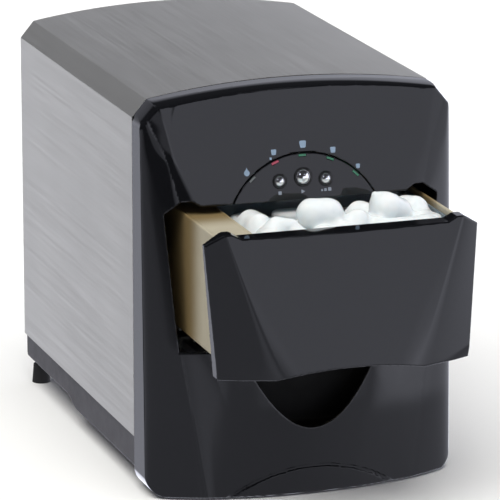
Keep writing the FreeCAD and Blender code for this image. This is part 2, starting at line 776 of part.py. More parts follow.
def make_ice_tray():
    y, z = "front_edge + tray_axis_y", "tray_axis_z"
    x0 = "-tray_half"
    outer = rod("tray_radius", "2 * tray_half", (x0, y, z), "x")
    inner = rod("tray_radius - 2", "2 * tray_half - 5", ("2.5 - tray_half", y, z), "x")
    above = box(("2 * tray_half + 2", 90, 60), ("-tray_half - 1", f"{y} - 45", "tray_axis_z - 14"))
    ends = []
    for side in ("-tray_half", "tray_half - 2.5"):
        ear = rod(16, 2.5, (side, y, z), "x")
        web = box((2.5, 30, 20), (side, f"{y} - 15", "tray_axis_z - 24"))
        ends += [ear, web]
    trough = cut(outer, inner, above)
    shafts = [rod(4, 12, ("tray_half", y, z), "x"), rod(4, 12, ("-tray_half - 12", y, z), "x")]
    keep(fuse(trough, *ends, *shafts), "ice_tray")
    hanger = box((5, 24, "liner_top - tray_axis_z + 8"), ("-tray_half - 10", f"{y} - 12", "tray_axis_z - 12"))
    keep(cut(hanger, rod("4 + fit_gap", 12, ("-tray_half - 14", y, z), "x")), "tray_bearing")
    case = box((34, 44, 46), ("tray_half + 3", f"{y} - 22", "tray_axis_z - 18"))
    can = rod(12, 14, ("tray_half + 37", y, "tray_axis_z + 8"), "x")
    bore = rod("4 + fit_gap", 14, ("tray_half + 2", y, z), "x")
    keep(cut(fuse(case, can), bore), "tray_motor")


def make_ice_guide_and_sensors():
    padded("ice_guide", "YZ_Plane", lines([(42, 266), (46, 264.5), (62, 268), (62, 270)]), 150,
           (-75, "front_edge", 0))
    sensors = []
    for x in (-127.8, 120.8):
        bore = rod(2, 9, (x - 1, "front_edge + 38", 268.5), "x")
        sensors.append(cut(box((7, 16, 12), (x, "front_edge + 30", 262.5)), bore))
    keep(group(*sensors), "ice_full_sensors")


# ---------------------------------------------------------------- water

def make_water_system():
    y = "front_edge + 14"
    tank = cut(box((250, 150, 92), (-125, y, 32)), box((244, 144, 92), (-122, f"{y} + wall", 35)),
               rod("drain_bore", 12, ("drain_x", "front_edge + 156", "drain_z"), "y"))
    keep(tank, "water_reservoir")
    keep(rod(3, 56, (-80, "front_edge + 54", 35)), "float_stem")
    keep(tube(12, "3 + free_gap", 16, (-80, "front_edge + 54", 36)), "water_float")
    pump = fuse(box((46, 40, 30), (55, "front_edge + 104", 35)), rod(16, 14, (78, "front_edge + 124", 65)),
                rod(5, 12, (62, "front_edge + 112", 65)))
    keep(pump, "water_pump")
    spout = tube("drain_bore + 2", "drain_bore", 201, ("drain_x", "front_edge + 164.1", "drain_z"), "y")
    keep(spout, "drain_spout")
    plug = rod("drain_bore - fit_gap", 14.5, ("drain_x", "front_edge + 351.1", "drain_z"), "y")
    head = rod(9, 5, ("drain_x", "front_edge + 365.3", "drain_z"), "y")
    keep(fuse(plug, head), "drain_cap")


def bent_tube(label, route, radius, bends, bore=0.0):
    """A tube along straight runs joined by tangent arcs."""
    edges, start = [], route[0]
    for corner, after, bend in zip(route[1:-1], route[2:], bends):
        into = (corner - start).normalize()
        out = (after - corner).normalize()
        half = into.getAngle(out) / 2
        trim = bend * math.tan(half)
        p0, p1 = corner - into * trim, corner + out * trim
        middle = corner + (out - into).normalize() * (bend / math.cos(half) - bend)
        edges += [Part.LineSegment(start, p0).toShape(), Part.Arc(p0, middle, p1).toShape()]
        start = p1
    edges.append(Part.LineSegment(start, route[-1]).toShape())
    spine = Part.Wire(edges)
    profile = Part.Wire([Part.Circle(route[0], route[1] - route[0], radius).toShape()])
    solid = spine.makePipeShell([profile], True, False)
    if bore:
        hole = Part.Wire([Part.Circle(route[0], route[1] - route[0], bore).toShape()])
        solid = solid.cut(spine.makePipeShell([hole], True, False))
    print(f"{label}: length {spine.Length:.0f}, volume {solid.Volume:.0f}, "
          f"section times length {math.pi * (radius ** 2 - bore ** 2) * spine.Length:.0f}")
    shape_feature(label, solid)


def route(*points):
    """Points given as x, distance behind the steel's front edge, z."""
    return [Vector(x, F + y, z) for x, y, z in points]


# ---------------------------------------------------------------- cooling

COMPRESSOR = (-52.0, 268.0)


def make_compressor():
    x, y = COMPRESSOR[0], f"front_edge + {COMPRESSOR[1]}"
    can = rod(50, 88, (x, y, 62))
    lid = doc.addObject("Part::Ellipsoid", "lid")
    bind(lid, "Radius1", 24)
    bind(lid, "Radius2", 50)
    bind(lid, "Radius3", 50)
    place(lid, (x, y, 150))
    bottom = doc.addObject("Part::Ellipsoid", "bottom")
    bind(bottom, "Radius1", 20)
    bind(bottom, "Radius2", 50)
    bind(bottom, "Radius3", 50)
    place(bottom, (x, y, 62))
    legs = [box((104, 16, 3), (x - 52, f"{y} - 8", 43)), box((16, 126, 3), (x - 8, f"{y} - 63", 43))]
    keep(fuse(can, lid, bottom, *legs), "compressor")
    mounts = []
    for dx, dy in ((43, 0), (-43, 0), (0, 54), (0, -54)):
        mounts.append(rod(9, 15.4, (x + dx, f"{y} + {dy}", 27.4)))
    keep(group(*mounts), "compressor_mounts")
    cover = box((44, 15.5, 40), (x - 22, f"{y} - 66", 90))
    keep(cover, "terminal_cover")


def make_condenser():
    x, y = 12, "front_edge + 296"
    coil = serpentine(3.0, 100, 20, 6, (x, y, 140), "upright")
    keep(coil, "condenser_coil")
    fins = [box((0.8, 22, 116), (x + 5 + 10 * i, f"{y} - 11", 132)) for i in range(10)]
    holes = [rod(3.2, 104, (x - 2, y, 140 + 20 * i), "x") for i in range(6)]
    keep(cut(group(*fins), *holes), "condenser_fins")


def make_fan():
    y = "front_edge"
    plate = box((112, 2, 116), ("fan_x - 56", f"{y} + 312", "fan_z - 58"))
    collar = tube("fan_radius + 4", "fan_radius + 2", 34, ("fan_x", f"{y} + 313", "fan_z"), "y")
    hole = rod("fan_radius + 2", 6, ("fan_x", f"{y} + 310", "fan_z"), "y")
    keep(fuse(cut(plate, hole), collar), "fan_shroud")
    motor = fuse(rod(17, 12.5, ("fan_x", f"{y} + 343.3", "fan_z"), "y"),
                 rod(2, 16, ("fan_x", f"{y} + 328", "fan_z"), "y"))
    keep(motor, "fan_motor")
    hub = rod(15, 15, ("fan_x", f"{y} + 326", "fan_z"), "y")
    bore = rod("2 + fit_gap", 20, ("fan_x", f"{y} + 327.5", "fan_z"), "y")
    blades = []
    for i in range(5):
        blade = box((30, 2, 22), (0, 0, 0))
        spin = Rotation(Vector(0, 1, 0), 72 * i)
        pitch = Rotation(Vector(1, 0, 0), 28)
        offset = spin.multVec(Vector(13.5, 0, 0) + pitch.multVec(Vector(0, -1, -11)))
        place(blade, (f"fan_x + {offset.x}", f"{y} + {333.5 + offset.y}", f"fan_z + {offset.z}"))
        blade.Placement = Placement(blade.Placement.Base, spin.multiply(pitch))
        blades.append(blade)
    keep(cut(fuse(hub, *blades), bore), "fan_blades")


def make_refrigerant_parts():
    drier = fuse(rod(8, 50, (128, "front_edge + 262", 60)),
                 cone(8, 3, 10, (128, "front_edge + 262", 110)),
                 cone(3, 8, 10, (128, "front_edge + 262", 50)))
    keep(drier, "filter_drier")
    valve = fuse(box((26, 22, 16), (-13, "front_edge + 196", 196)), rod(9, 24, (0, "front_edge + 207", 212)))
    keep(valve, "hot_gas_valve")
    x, y = COMPRESSOR
    coil_y = D["tray_axis_y"] - 18
    coil_z = D["liner_top"] + 7.5
    bent_tube("suction_line", route((x - 20, y, 175), (x - 20, y, 330), (x - 20, 150, 352),
                                    (x - 20, coil_y, coil_z), (-55.1, coil_y, coil_z)), 3.0, (22, 30, 7.5))
    bent_tube("discharge_line", route((x + 24, y, 172.5), (x + 24, y, 262), (6, y + 28, 262),
                                      (6, y + 28, 246)), 2.5, (10, 8))
    bent_tube("pump_hose", route((62, 112, 77.1), (62, 112, 128.5), (137, 160, 128.5), (137, 160, 341),
                                 (78, 120, 344)), 3.0, (8, 8, 12))


# ---------------------------------------------------------------- electrics and frame

def make_electrics():
    y = "front_edge + 184.5"
    tray = cut(box((110, 26, 92), (-128, y, 222)), box((106, 26, 88), (-126, f"{y} + 2", 224)))
    keep(tray, "board_box")
    keep(box((98, 1.6, 80), (-122, f"{y} + 8", 228)), "control_board")
    chips = [box((18, 14, 14), (-118, f"{y} + 9.8", 232)), box((16, 12, 16), (-90, f"{y} + 9.8", 286)),
             rod(6, 14, (-50, f"{y} + 9.8", 250), "y"), rod(5, 12, (-66, f"{y} + 9.8", 250), "y")]
    keep(group(*chips), "board_relays")
    core = box((44, 36, 36), (60, "front_edge + 196", 31))
    bracket = box((64, 36, 3), (50, "front_edge + 196", 28.4))
    keep(fuse(core, bracket), "transformer")


def make_bulkhead():
    holes = rectangle(-80, 338, -64, 358)
    padded("bulkhead", "XZ_Plane", cabinet_curves(2.5, 60), 1.2, (0, "front_edge + 180.6", 0),
           reverse=True, holes=holes)


for make in (make_cabinet_wrap, make_front_fascia, make_control_panel, make_bezels_and_lenses,
             make_buttons, make_display_board, make_base_pan, make_feet, make_rear_panel,
             make_fan_guard, make_rear_screws, make_power_inlet, make_drawer_front,
             make_drawer_backing, make_drawer_tub, make_runners_and_rails, make_ice_basket,
             make_inner_liner, make_evaporator, make_ice_tray, make_ice_guide_and_sensors,
             make_water_system, make_compressor, make_condenser, make_fan, make_refrigerant_parts,
             make_electrics, make_bulkhead):
    make()


# ---------------------------------------------------------------- check and write

doc.recompute()
os.makedirs("parts", exist_ok=True)
for obj in doc.Objects:
    if "Invalid" in obj.State or "Error" in obj.State:
        raise RuntimeError(f"{obj.Label} failed: {obj.State}")
whole = Part.makeCompound([obj.Shape for obj in SUBPARTS])
for obj in SUBPARTS:
    if obj.Shape.isNull() or not obj.Shape.isValid():
        raise RuntimeError(f"{obj.Label} has no valid shape")
    obj.Shape.exportStep(os.path.join("parts", f"{obj.Label}.step"))
    bb = obj.Shape.optimalBoundingBox(False, False)
    print(f"{obj.Label:20s} solids {len(obj.Shape.Solids):3d} volume {obj.Shape.Volume / 1000:8.1f} cm3"
          f"  x {bb.XMin:.1f} {bb.XMax:.1f}  y {bb.YMin:.1f} {bb.YMax:.1f}  z {bb.ZMin:.1f} {bb.ZMax:.1f}")
print(len(SUBPARTS), "sub-parts, box", whole.BoundBox)
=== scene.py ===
import json
import math
import random

import bmesh
import bpy
import numpy as np
from mathutils import Matrix, Vector


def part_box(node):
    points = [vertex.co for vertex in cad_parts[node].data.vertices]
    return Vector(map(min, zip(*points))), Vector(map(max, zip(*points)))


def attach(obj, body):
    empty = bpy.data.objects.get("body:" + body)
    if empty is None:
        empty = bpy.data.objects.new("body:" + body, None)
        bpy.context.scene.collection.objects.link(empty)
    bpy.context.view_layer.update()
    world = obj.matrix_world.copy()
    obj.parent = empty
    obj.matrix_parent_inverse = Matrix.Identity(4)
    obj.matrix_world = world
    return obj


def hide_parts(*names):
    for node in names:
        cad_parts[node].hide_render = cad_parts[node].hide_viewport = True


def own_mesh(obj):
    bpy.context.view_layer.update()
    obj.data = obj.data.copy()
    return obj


# Countertop ice maker with its ice drawer part open. The CAD frame comes from the pack;
# the moulded outer parts are rebuilt here as smooth meshes on the same sizes, and every
# other CAD node keeps its mesh and gets a procedural material.

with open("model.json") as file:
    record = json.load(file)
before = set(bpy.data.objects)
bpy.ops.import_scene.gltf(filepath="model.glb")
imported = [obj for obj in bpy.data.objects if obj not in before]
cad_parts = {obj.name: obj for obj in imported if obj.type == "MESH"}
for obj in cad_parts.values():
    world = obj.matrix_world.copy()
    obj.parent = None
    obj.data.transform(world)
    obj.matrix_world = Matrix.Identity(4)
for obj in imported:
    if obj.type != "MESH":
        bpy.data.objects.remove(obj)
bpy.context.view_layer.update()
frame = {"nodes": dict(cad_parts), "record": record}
MM = 0.001


def box_mm(node):
    """A CAD node's lowest and highest corners in millimetres."""
    low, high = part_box(node)
    return [c / MM for c in low], [c / MM for c in high]


STEEL_LOW, STEEL_HIGH = box_mm("cabinet_wrap")
FRONT = STEEL_LOW[1]                 # y of the steel's front edge
REAR = STEEL_HIGH[1]
HALF = STEEL_HIGH[0]                 # half of the outside width
CROWN_TOP = STEEL_HIGH[2]
BASE_TOP = STEEL_LOW[2]
DRAWER_OUT = 102.0                   # how far the drawer stands out at rest
COARSE = 1.0


# ---------------------------------------------------------------- materials

def new_material(name):
    mat = bpy.data.materials.new(name)
    mat.use_nodes = True
    tree = mat.node_tree
    return mat, tree, tree.nodes["Principled BSDF"]


def add_node(tree, kind, **inputs):
    made = tree.nodes.new(kind)
    for key, value in inputs.items():
        made.inputs[key.replace("_", " ")].default_value = value
    return made


def noise(tree, scale, stretch=(1, 1, 1), detail=4.0, rough=0.55):
    """A noise texture in object space, in metres, squeezed along the axes by stretch."""
    coords = tree.nodes.new("ShaderNodeTexCoord")
    mapping = add_node(tree, "ShaderNodeMapping", Scale=stretch)
    tree.links.new(coords.outputs["Object"], mapping.inputs["Vector"])
    made = add_node(tree, "ShaderNodeTexNoise", Scale=scale, Detail=detail, Roughness=rough)
    tree.links.new(mapping.outputs["Vector"], made.inputs["Vector"])
    return made.outputs["Fac"]


def remap(tree, source, low, high):
    """Spread a noise's middle range over low to high."""
    made = add_node(tree, "ShaderNodeMapRange", From_Min=0.3, From_Max=0.7, To_Min=low, To_Max=high)
    tree.links.new(source, made.inputs["Value"])
    return made.outputs["Result"]


def blend_colours(tree, source, first, second):
    made = tree.nodes.new("ShaderNodeMix")
    made.data_type = "RGBA"
    made.inputs[6].default_value = (*first, 1)
    made.inputs[7].default_value = (*second, 1)
    tree.links.new(source, made.inputs[0])
    return made.outputs[2]


def multiply_colours(tree, first):
    """A node that multiplies first by its second colour, input 7, in the share of its input 0."""
    made = tree.nodes.new("ShaderNodeMix")
    made.data_type, made.blend_type = "RGBA", "MULTIPLY"
    tree.links.new(first, made.inputs[6])
    return made


def add_bump(tree, shader, source, strength, distance):
    bump = add_node(tree, "ShaderNodeBump", Strength=strength, Distance=distance)
    tree.links.new(source, bump.inputs["Height"])
    last = shader.inputs["Normal"]
    if last.links:
        tree.links.new(last.links[0].from_socket, bump.inputs["Normal"])
    tree.links.new(bump.outputs["Normal"], last)


def finish_material(name, colour, rough, vary=0.12, rough_vary=0.05, metal=0.0, patch=30.0,
                    grain=(900.0, 0.15, 0.0002), stretch=(1, 1, 1), **sockets):
    """One finish: slow colour drift, patchy roughness and a fine surface grain."""
    mat, tree, shader = new_material(name)
    slow = noise(tree, patch, stretch)
    darker = tuple(c * (1 - vary) for c in colour)
    lighter = tuple(min(1.0, c * (1 + vary)) for c in colour)
    tint = blend_colours(tree, remap(tree, slow, 0, 1), darker, lighter)
    tree.links.new(tint, shader.inputs["Base Color"])
    patchy = remap(tree, noise(tree, patch * 3.1, stretch, 5.0), rough - rough_vary, rough + rough_vary)
    tree.links.new(patchy, shader.inputs["Roughness"])
    shader.inputs["Metallic"].default_value = metal
    for key, value in sockets.items():
        shader.inputs[key.replace("_", " ")].default_value = value
    scale, strength, distance = grain
    if strength:
        add_bump(tree, shader, noise(tree, scale, stretch, 3.0), strength, distance)
    return mat


def brushed_steel(name, colour):
    """Satin steel with fine brush lines from front to back, and faint clouding."""
    mat, tree, shader = new_material(name)
    streaks = noise(tree, 520.0, (1, 0.012, 1), 5.0, 0.7)
    clouds = noise(tree, 7.0, (1, 1, 1), 2.0)
    base = blend_colours(tree, remap(tree, clouds, 0, 1),
                         tuple(c * 0.96 for c in colour), tuple(c * 1.03 for c in colour))
    lined = blend_colours(tree, remap(tree, streaks, 0, 1), (0.97, 0.97, 0.97), (1.0, 1.0, 1.0))
    mix = multiply_colours(tree, base)
    mix.inputs[0].default_value = 1.0
    tree.links.new(lined, mix.inputs[7])
    tree.links.new(mix.outputs[2], shader.inputs["Base Color"])
    tree.links.new(remap(tree, streaks, 0.34, 0.44), shader.inputs["Roughness"])
    shader.inputs["Metallic"].default_value = 1.0
    add_bump(tree, shader, streaks, 0.10, 0.00008)
    return mat


# The gloss mouldings: slow, very faint waviness.
GLOSS = dict(patch=9.0, grain=(140.0, 0.012, 0.0002), rough_vary=0.012, IOR=1.46)


def paint_shade_towards_rear(mat, start, end, tint):
    """Painted shade: fade the finish's colour to its product with tint, from start to end along y in
    metres.
    """
    tree = mat.node_tree
    socket = tree.nodes["Principled BSDF"].inputs["Base Color"]
    source = socket.links[0].from_socket
    coords = tree.nodes.new("ShaderNodeTexCoord")
    parts = tree.nodes.new("ShaderNodeSeparateXYZ")
    tree.links.new(coords.outputs["Object"], parts.inputs[0])
    along = add_node(tree, "ShaderNodeMapRange", From_Min=start, From_Max=end)
    along.interpolation_type = "SMOOTHSTEP"
    tree.links.new(parts.outputs["Y"], along.inputs["Value"])
    mix = multiply_colours(tree, source)
    tree.links.new(along.outputs["Result"], mix.inputs[0])
    mix.inputs[7].default_value = (*tint, 1)
    tree.links.new(mix.outputs[2], socket)


MATERIALS = {
    "steel": brushed_steel("steel_brushed", (0.59, 0.576, 0.51)),
    "gloss_black": finish_material("gloss_black", (0.0042, 0.0044, 0.0055), 0.05, **GLOSS),
    "matte_black": finish_material("matte_black", (0.022, 0.022, 0.024), 0.52,
                                   grain=(1500.0, 0.35, 0.0002)),
    # cup_black: a real dull black, made darker and weakly reflecting as painted shade inside the scoop's
    # pocket.
    "cup_black": finish_material("cup_black", (0.003, 0.003, 0.003), 0.7, grain=(1500.0, 0.2, 0.0002),
                                 Specular_IOR_Level=0.2),
    "skirt": finish_material("skirt_grey", (0.066, 0.064, 0.072), 0.62, grain=(1300.0, 0.4, 0.0002)),
    "dark_grey": finish_material("liner_grey", (0.03, 0.032, 0.036), 0.4, grain=(1100.0, 0.2, 0.0002)),
    "cream": finish_material("cream_abs_shaded_rear", (0.45, 0.41, 0.315), 0.42, vary=0.05, patch=14.0,
                             grain=(700.0, 0.12, 0.0002)),
    "white_plastic": finish_material("white_abs", (0.76, 0.76, 0.73), 0.42, vary=0.05),
    "foam": finish_material("foam_cells", (0.78, 0.70, 0.46), 0.85, vary=0.12, patch=90.0,
                            grain=(420.0, 0.8, 0.001)),
    "rubber": finish_material("rubber_black", (0.018, 0.018, 0.019), 0.72, grain=(800.0, 0.4, 0.0003)),
    "chrome": finish_material("chrome", (0.86, 0.87, 0.88), 0.08, vary=0.02, rough_vary=0.02, metal=1.0,
                              grain=(300.0, 0.02, 0.0001)),
    "copper": finish_material("copper_tube", (0.72, 0.36, 0.20), 0.28, vary=0.16, rough_vary=0.08,
                              metal=1.0, patch=60.0, grain=(500.0, 0.08, 0.0001)),
    "aluminium": finish_material("aluminium_sheet", (0.72, 0.73, 0.74), 0.34, vary=0.05, metal=1.0,
                                 stretch=(1, 1, 0.05), grain=(900.0, 0.1, 0.0001)),
    "zinc_steel": finish_material("zinc_plate", (0.55, 0.56, 0.56), 0.36, vary=0.12, metal=1.0,
                                  patch=120.0, grain=(350.0, 0.1, 0.0001)),
    "painted_black": finish_material("satin_black_paint", (0.018, 0.018, 0.019), 0.38,
                                     grain=(1200.0, 0.25, 0.0002)),
    "circuit": finish_material("circuit_green", (0.012, 0.16, 0.06), 0.32, vary=0.3, patch=260.0,
                               grain=(600.0, 0.2, 0.0002)),
    "lens": finish_material("lens_clear", (0.30, 0.42, 0.38), 0.12),
    "tube_clear": finish_material("silicone_tube", (0.72, 0.72, 0.66), 0.3, vary=0.05),
    "clear_blue": finish_material("basket_blue", (0.50, 0.60, 0.68), 0.14, vary=0.04, rough_vary=0.04,
                                  grain=(260.0, 0.05, 0.0003), Transmission_Weight=0.8, IOR=1.49),
}

# Painted shade: the cream darkens to tan towards the tub's rear, where the fascia casts its shadow; the
# dark part still shows when the drawer opens further.
paint_shade_towards_rear(MATERIALS["cream"], (FRONT - 95) * MM, (FRONT - 52) * MM, (0.42, 0.33, 0.20))

NODE_FINISH = {"base_pan": "skirt"}
SLOT_OF = {entry["node"]: entry["material_slot"] for entry in frame["record"]["subparts"]}

for node, carried in frame["nodes"].items():      # every carried-over CAD node gets its finish
    for i in range(len(carried.data.materials)):
        carried.data.materials[i] = MATERIALS[NODE_FINISH.get(node, SLOT_OF[node])]

scene = bpy.context.scene


# ---------------------------------------------------------------- moulded surfaces

# A field gives about the distance in mm from a surface, negative inside the material.

def round_and(a, b, r):
    """Inside both a and b, their shared edge rounded."""
    return np.minimum(-r, np.maximum(a, b)) + np.hypot(np.maximum(r + a, 0), np.maximum(r + b, 0))


def round_or(a, b, r):
    return -round_and(-a, -b, r)


def carve(a, b, r):
    return round_and(a, -b, r)


def slope_plane(u, v, p, q):
    """Distance from the line through p and q, positive on its left side."""
    du, dv = q[0] - p[0], q[1] - p[1]
    length = np.hypot(du, dv)
    return ((v - p[1]) * du - (u - p[0]) * dv) / length


def gradient(field, pts):
    step = 0.03
    x, y, z = pts.T
    return np.stack([field(x + step, y, z) - field(x - step, y, z),
                     field(x, y + step, z) - field(x, y - step, z),
                     field(x, y, z + step) - field(x, y, z - step)], axis=1) / (2 * step)


def settle(field, pts, reach, rounds=5):
    """Move points onto the surface along the field's gradient."""
    for _ in range(rounds):
        value = field(*pts.T)
        slope = gradient(field, pts)
        move = slope * (value / np.maximum((slope ** 2).sum(1), 0.05))[:, None]
        length = np.linalg.norm(move, axis=1, keepdims=True)
        pts = pts - move * np.minimum(1, reach / np.maximum(length, 1e-9))
    return pts


def surface_net(field, low, high, pitch):
    """Vertices and quads of the field's zero surface on a regular grid."""
    axes = [a - 1.37 * pitch + pitch * np.arange(int(math.ceil((b - a) / pitch)) + 4)
            for a, b in zip(low, high)]
    shape = [len(a) for a in axes]
    value = np.empty(shape)
    for i, x in enumerate(axes[0]):
        y, z = np.meshgrid(axes[1], axes[2], indexing="ij")
        value[i] = field(np.full(y.shape, x), y, z)
    inside = value < 0
    corners = [(i, j, k) for i in (0, 1) for j in (0, 1) for k in (0, 1)]
    count = np.zeros([n - 1 for n in shape], dtype=np.int8)
    for i, j, k in corners:
        count += inside[i:shape[0] - 1 + i, j:shape[1] - 1 + j, k:shape[2] - 1 + k]
    cells = np.argwhere((count > 0) & (count < 8))
    index = np.full(count.shape, -1, dtype=np.int64)
    index[tuple(cells.T)] = np.arange(len(cells))
    at = {c: value[tuple((cells + c).T)] for c in corners}
    total, hits = np.zeros((len(cells), 3)), np.zeros(len(cells))
    for a in corners:
        for axis in range(3):
            if a[axis]:
                continue
            b = tuple(a[n] + (n == axis) for n in range(3))
            cross = (at[a] < 0) != (at[b] < 0)
            t = at[a][cross] / (at[a][cross] - at[b][cross])
            point = np.tile(np.array(a, dtype=float), (len(t), 1))
            point[:, axis] += t
            total[cross] += point
            hits[cross] += 1
    start = np.array([a[0] for a in axes])
    pts = start + pitch * (cells + total / hits[:, None])
    quads = []
    for axis in range(3):
        near = [slice(None)] * 3
        near[axis] = slice(0, -1)
        far = [slice(None)] * 3
        far[axis] = slice(1, None)
        for outward in (True, False):
            edge = (inside[tuple(near)] & ~inside[tuple(far)]) if outward else \
                   (~inside[tuple(near)] & inside[tuple(far)])
            edges = np.argwhere(edge)
            u, v = [n for n in range(3) if n != axis]
            edges = edges[(edges[:, u] > 0) & (edges[:, v] > 0)]
            ring = []
            for du, dv in ((-1, -1), (0, -1), (0, 0), (-1, 0)):
                cell = edges.copy()
                cell[:, u] += du
                cell[:, v] += dv
                ring.append(index[tuple(cell.T)])
            ring = np.stack(ring, axis=1)
            forward = outward if axis != 1 else not outward
            quads.append(ring if forward else ring[:, ::-1])
    return pts, np.concatenate(quads)


def link(name, mesh, body, material, replaces=()):
    obj = bpy.data.objects.new(name, mesh)
    scene.collection.objects.link(obj)
    if not mesh.materials:
        mesh.materials.append(material)
    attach(obj, body)
    if replaces:
        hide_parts(*replaces)
    return obj


def closed_mesh(name, made):
    """Turn a finished bmesh into mesh data with its faces outward."""
    bmesh.ops.recalc_face_normals(made, faces=made.faces)
    data = bpy.data.meshes.new(name)
    made.to_mesh(data)
    made.free()
    return data


def smooth(mesh):
    mesh.polygons.foreach_set("use_smooth", np.ones(len(mesh.polygons), dtype=bool))


def moulded(name, field, low, high, pitch, triangles, body, slot, material=None, replaces=()):
    """A piece with a smooth closed mesh of the field, thinned out where it is flat."""
    pitch *= COARSE
    pts, quads = surface_net(field, low, high, pitch)
    pts = settle(field, pts, pitch * 0.5)
    mesh = bpy.data.meshes.new(name)
    mesh.from_pydata((pts * MM).tolist(), [], quads.tolist())
    smooth(mesh)
    if 2 * len(quads) > triangles:
        carrier = bpy.data.objects.new(name + "_raw", mesh)
        scene.collection.objects.link(carrier)
        thin = carrier.modifiers.new("thin", "DECIMATE")
        thin.ratio = triangles / (2 * len(quads))
        thin.use_collapse_triangulate = True
        thinned = bpy.data.meshes.new_from_object(
            carrier.evaluated_get(bpy.context.evaluated_depsgraph_get()))
        bpy.data.objects.remove(carrier)
        bpy.data.meshes.remove(mesh)
        mesh = thinned
        mesh.name = name
    pts = np.empty(len(mesh.vertices) * 3)
    mesh.vertices.foreach_get("co", pts)
    pts = settle(field, pts.reshape(-1, 3) / MM, pitch * 0.3, 3)
    mesh.vertices.foreach_set("co", (pts * MM).ravel())
    smooth(mesh)
    mesh.validate()
    normals = gradient(field, pts)
    normals /= np.maximum(np.linalg.norm(normals, axis=1, keepdims=True), 1e-9)
    mesh.normals_split_custom_set_from_vertices(normals.tolist())
    return link(name, mesh, body, material or MATERIALS[slot], replaces)


# ---------------------------------------------------------------- shared outlines

def eased(pairs, spread=16.0):
    """A table of (height, value) pairs as a smooth function of height."""
    zs, vs = [p[0] for p in pairs], [p[1] for p in pairs]
    low = (vs[1] - vs[0]) / (zs[1] - zs[0])
    high = (vs[-1] - vs[-2]) / (zs[-1] - zs[-2])
    zs = [zs[0] - 60] + zs + [zs[-1] + 60]
    vs = [vs[0] - 60 * low] + vs + [vs[-1] + 60 * high]
    step = 0.25
    fine = np.arange(zs[0], zs[-1], step)
    window = np.hanning(int(2 * spread / step) + 3)[1:-1]
    padded = np.pad(np.interp(fine, zs, vs), len(window) // 2, mode="reflect", reflect_type="odd")
    values = np.convolve(padded, window / window.sum(), mode="valid")
    return lambda z: np.interp(z, fine, values)


# How far the fascia stands out from the steel's front edge, by height.
CENTRE_OUT = eased([(2, 74), (75, 74), (137, 70), (271, 50), (353, 33), (370, 29)])
CREASE_X = eased([(2, 97), (75, 108.5), (137, 118.5), (271, 129), (309, 134), (343, 142), (370, 143.5)])
CREASE_OUT = eased([(2, 61), (75, 58), (137, 52), (271, 39), (309, 34), (343, 27), (370, 22)])
FACE_X = eased([(2, 60), (137, 70), (271, 112.3), (353, 128.4), (370, 131)])
FACE_OUT = eased([(2, 70), (75, 69.5), (137, 66), (271, 46), (353, 29.5), (370, 26)])
SIDE_OUT = eased([(2, 32), (318, 23.5), (370, 20)])
FACET_ROUND = eased([(2, 3.0), (125, 2.4), (165, 0.8), (370, 0.8)])


BEAD_HIGH, BEAD_WIDE = 0.28, 1.1       # the fine bead along each crease,
BEAD_TOP, BEAD_FADE = 150.0, 20.0      # which fades out below the drawer's foot


def fascia_face(x, out, z):
    """The fascia's bowed middle and its two facets, without the round corners."""
    x = np.abs(x)
    centre, fx, fo = CENTRE_OUT(z), FACE_X(z), FACE_OUT(z)
    sag = centre - fo
    radius = (fx ** 2 + sag ** 2) / (2 * sag)
    bow = np.hypot(x, out - centre + radius) - radius
    facet = slope_plane(x, out, (fx, fo), (CREASE_X(z), CREASE_OUT(z)))
    return round_and(bow, facet, FACET_ROUND(z))


def fascia_front(x, out, z):
    """The fascia's outer form: bowed middle, two facets and two round corners."""
    x = np.abs(x)
    side, cx = SIDE_OUT(z), CREASE_X(z)
    span, height = HALF - cx, CREASE_OUT(z) - side
    u, w = (x - cx) / span, np.maximum((out - side) / height, 0)
    lean = 0.5 - 0.364 * span / height
    stretch = 1 + lean * np.maximum(u, -0.9)
    level = w ** 2 - (1 - u) * stretch ** 2
    du = (stretch ** 2 - 2 * lean * (1 - u) * stretch) / span
    corner = level / np.maximum(np.hypot(du, 2 * w / height), 0.004)
    front = round_and(fascia_face(x, out, z), corner, 1.1)
    low = np.clip((BEAD_TOP - z) / BEAD_FADE, 0, 1)
    return front - BEAD_HIGH * low * np.exp(-((x - cx) / BEAD_WIDE) ** 2)


SHOULDER_LOW, SHOULDER_HIGH, SHOULDER_IN = 340.5, 356.0, 13.0
TOP_HALF = HALF - SHOULDER_IN
CROWN_RISE = CROWN_TOP - SHOULDER_HIGH
CROWN_RADIUS = (TOP_HALF ** 2 + CROWN_RISE ** 2) / (2 * CROWN_RISE)


def crown_outline(x, z):
    """The crowned top and its two chamfers, without the straight sides."""
    crown = np.hypot(x, z - CROWN_TOP + CROWN_RADIUS) - CROWN_RADIUS
    x = np.abs(x)
    chamfer = -slope_plane(x, z, (HALF, SHOULDER_LOW), (TOP_HALF, SHOULDER_HIGH))
    return round_and(crown, chamfer, 1.2)


FOOT_Z, FOOT_CORNER = 2.0, 16.0
BROW_LOW, BROW_HIGH, BROW_DEEP = 338.0, 4.0, 25.0   # the long flat rounding of the top edge
SKIN = 3.5


def fascia_body(x, out, z, inset=0.0, lip=4.5):
    """The fascia's whole outer form, or the same form moved in by inset."""
    front = fascia_front(x, out, z) + inset
    top = crown_outline(x, z) + inset
    body = round_and(front, top, lip)
    flat = np.interp(z, (BROW_LOW - 12, BROW_LOW), (1.0, BROW_HIGH / BROW_DEEP))
    face = fascia_face(x, out, z) + inset
    body = np.maximum(body, round_and(face * flat, top, BROW_HIGH))
    foot = FOOT_Z - z + inset
    corner = round_and(np.abs(x) - HALF + inset, foot, FOOT_CORNER)
    return np.maximum(round_and(body, foot, 1.5), corner)


SILL, HEADER = 136.5, 266.0


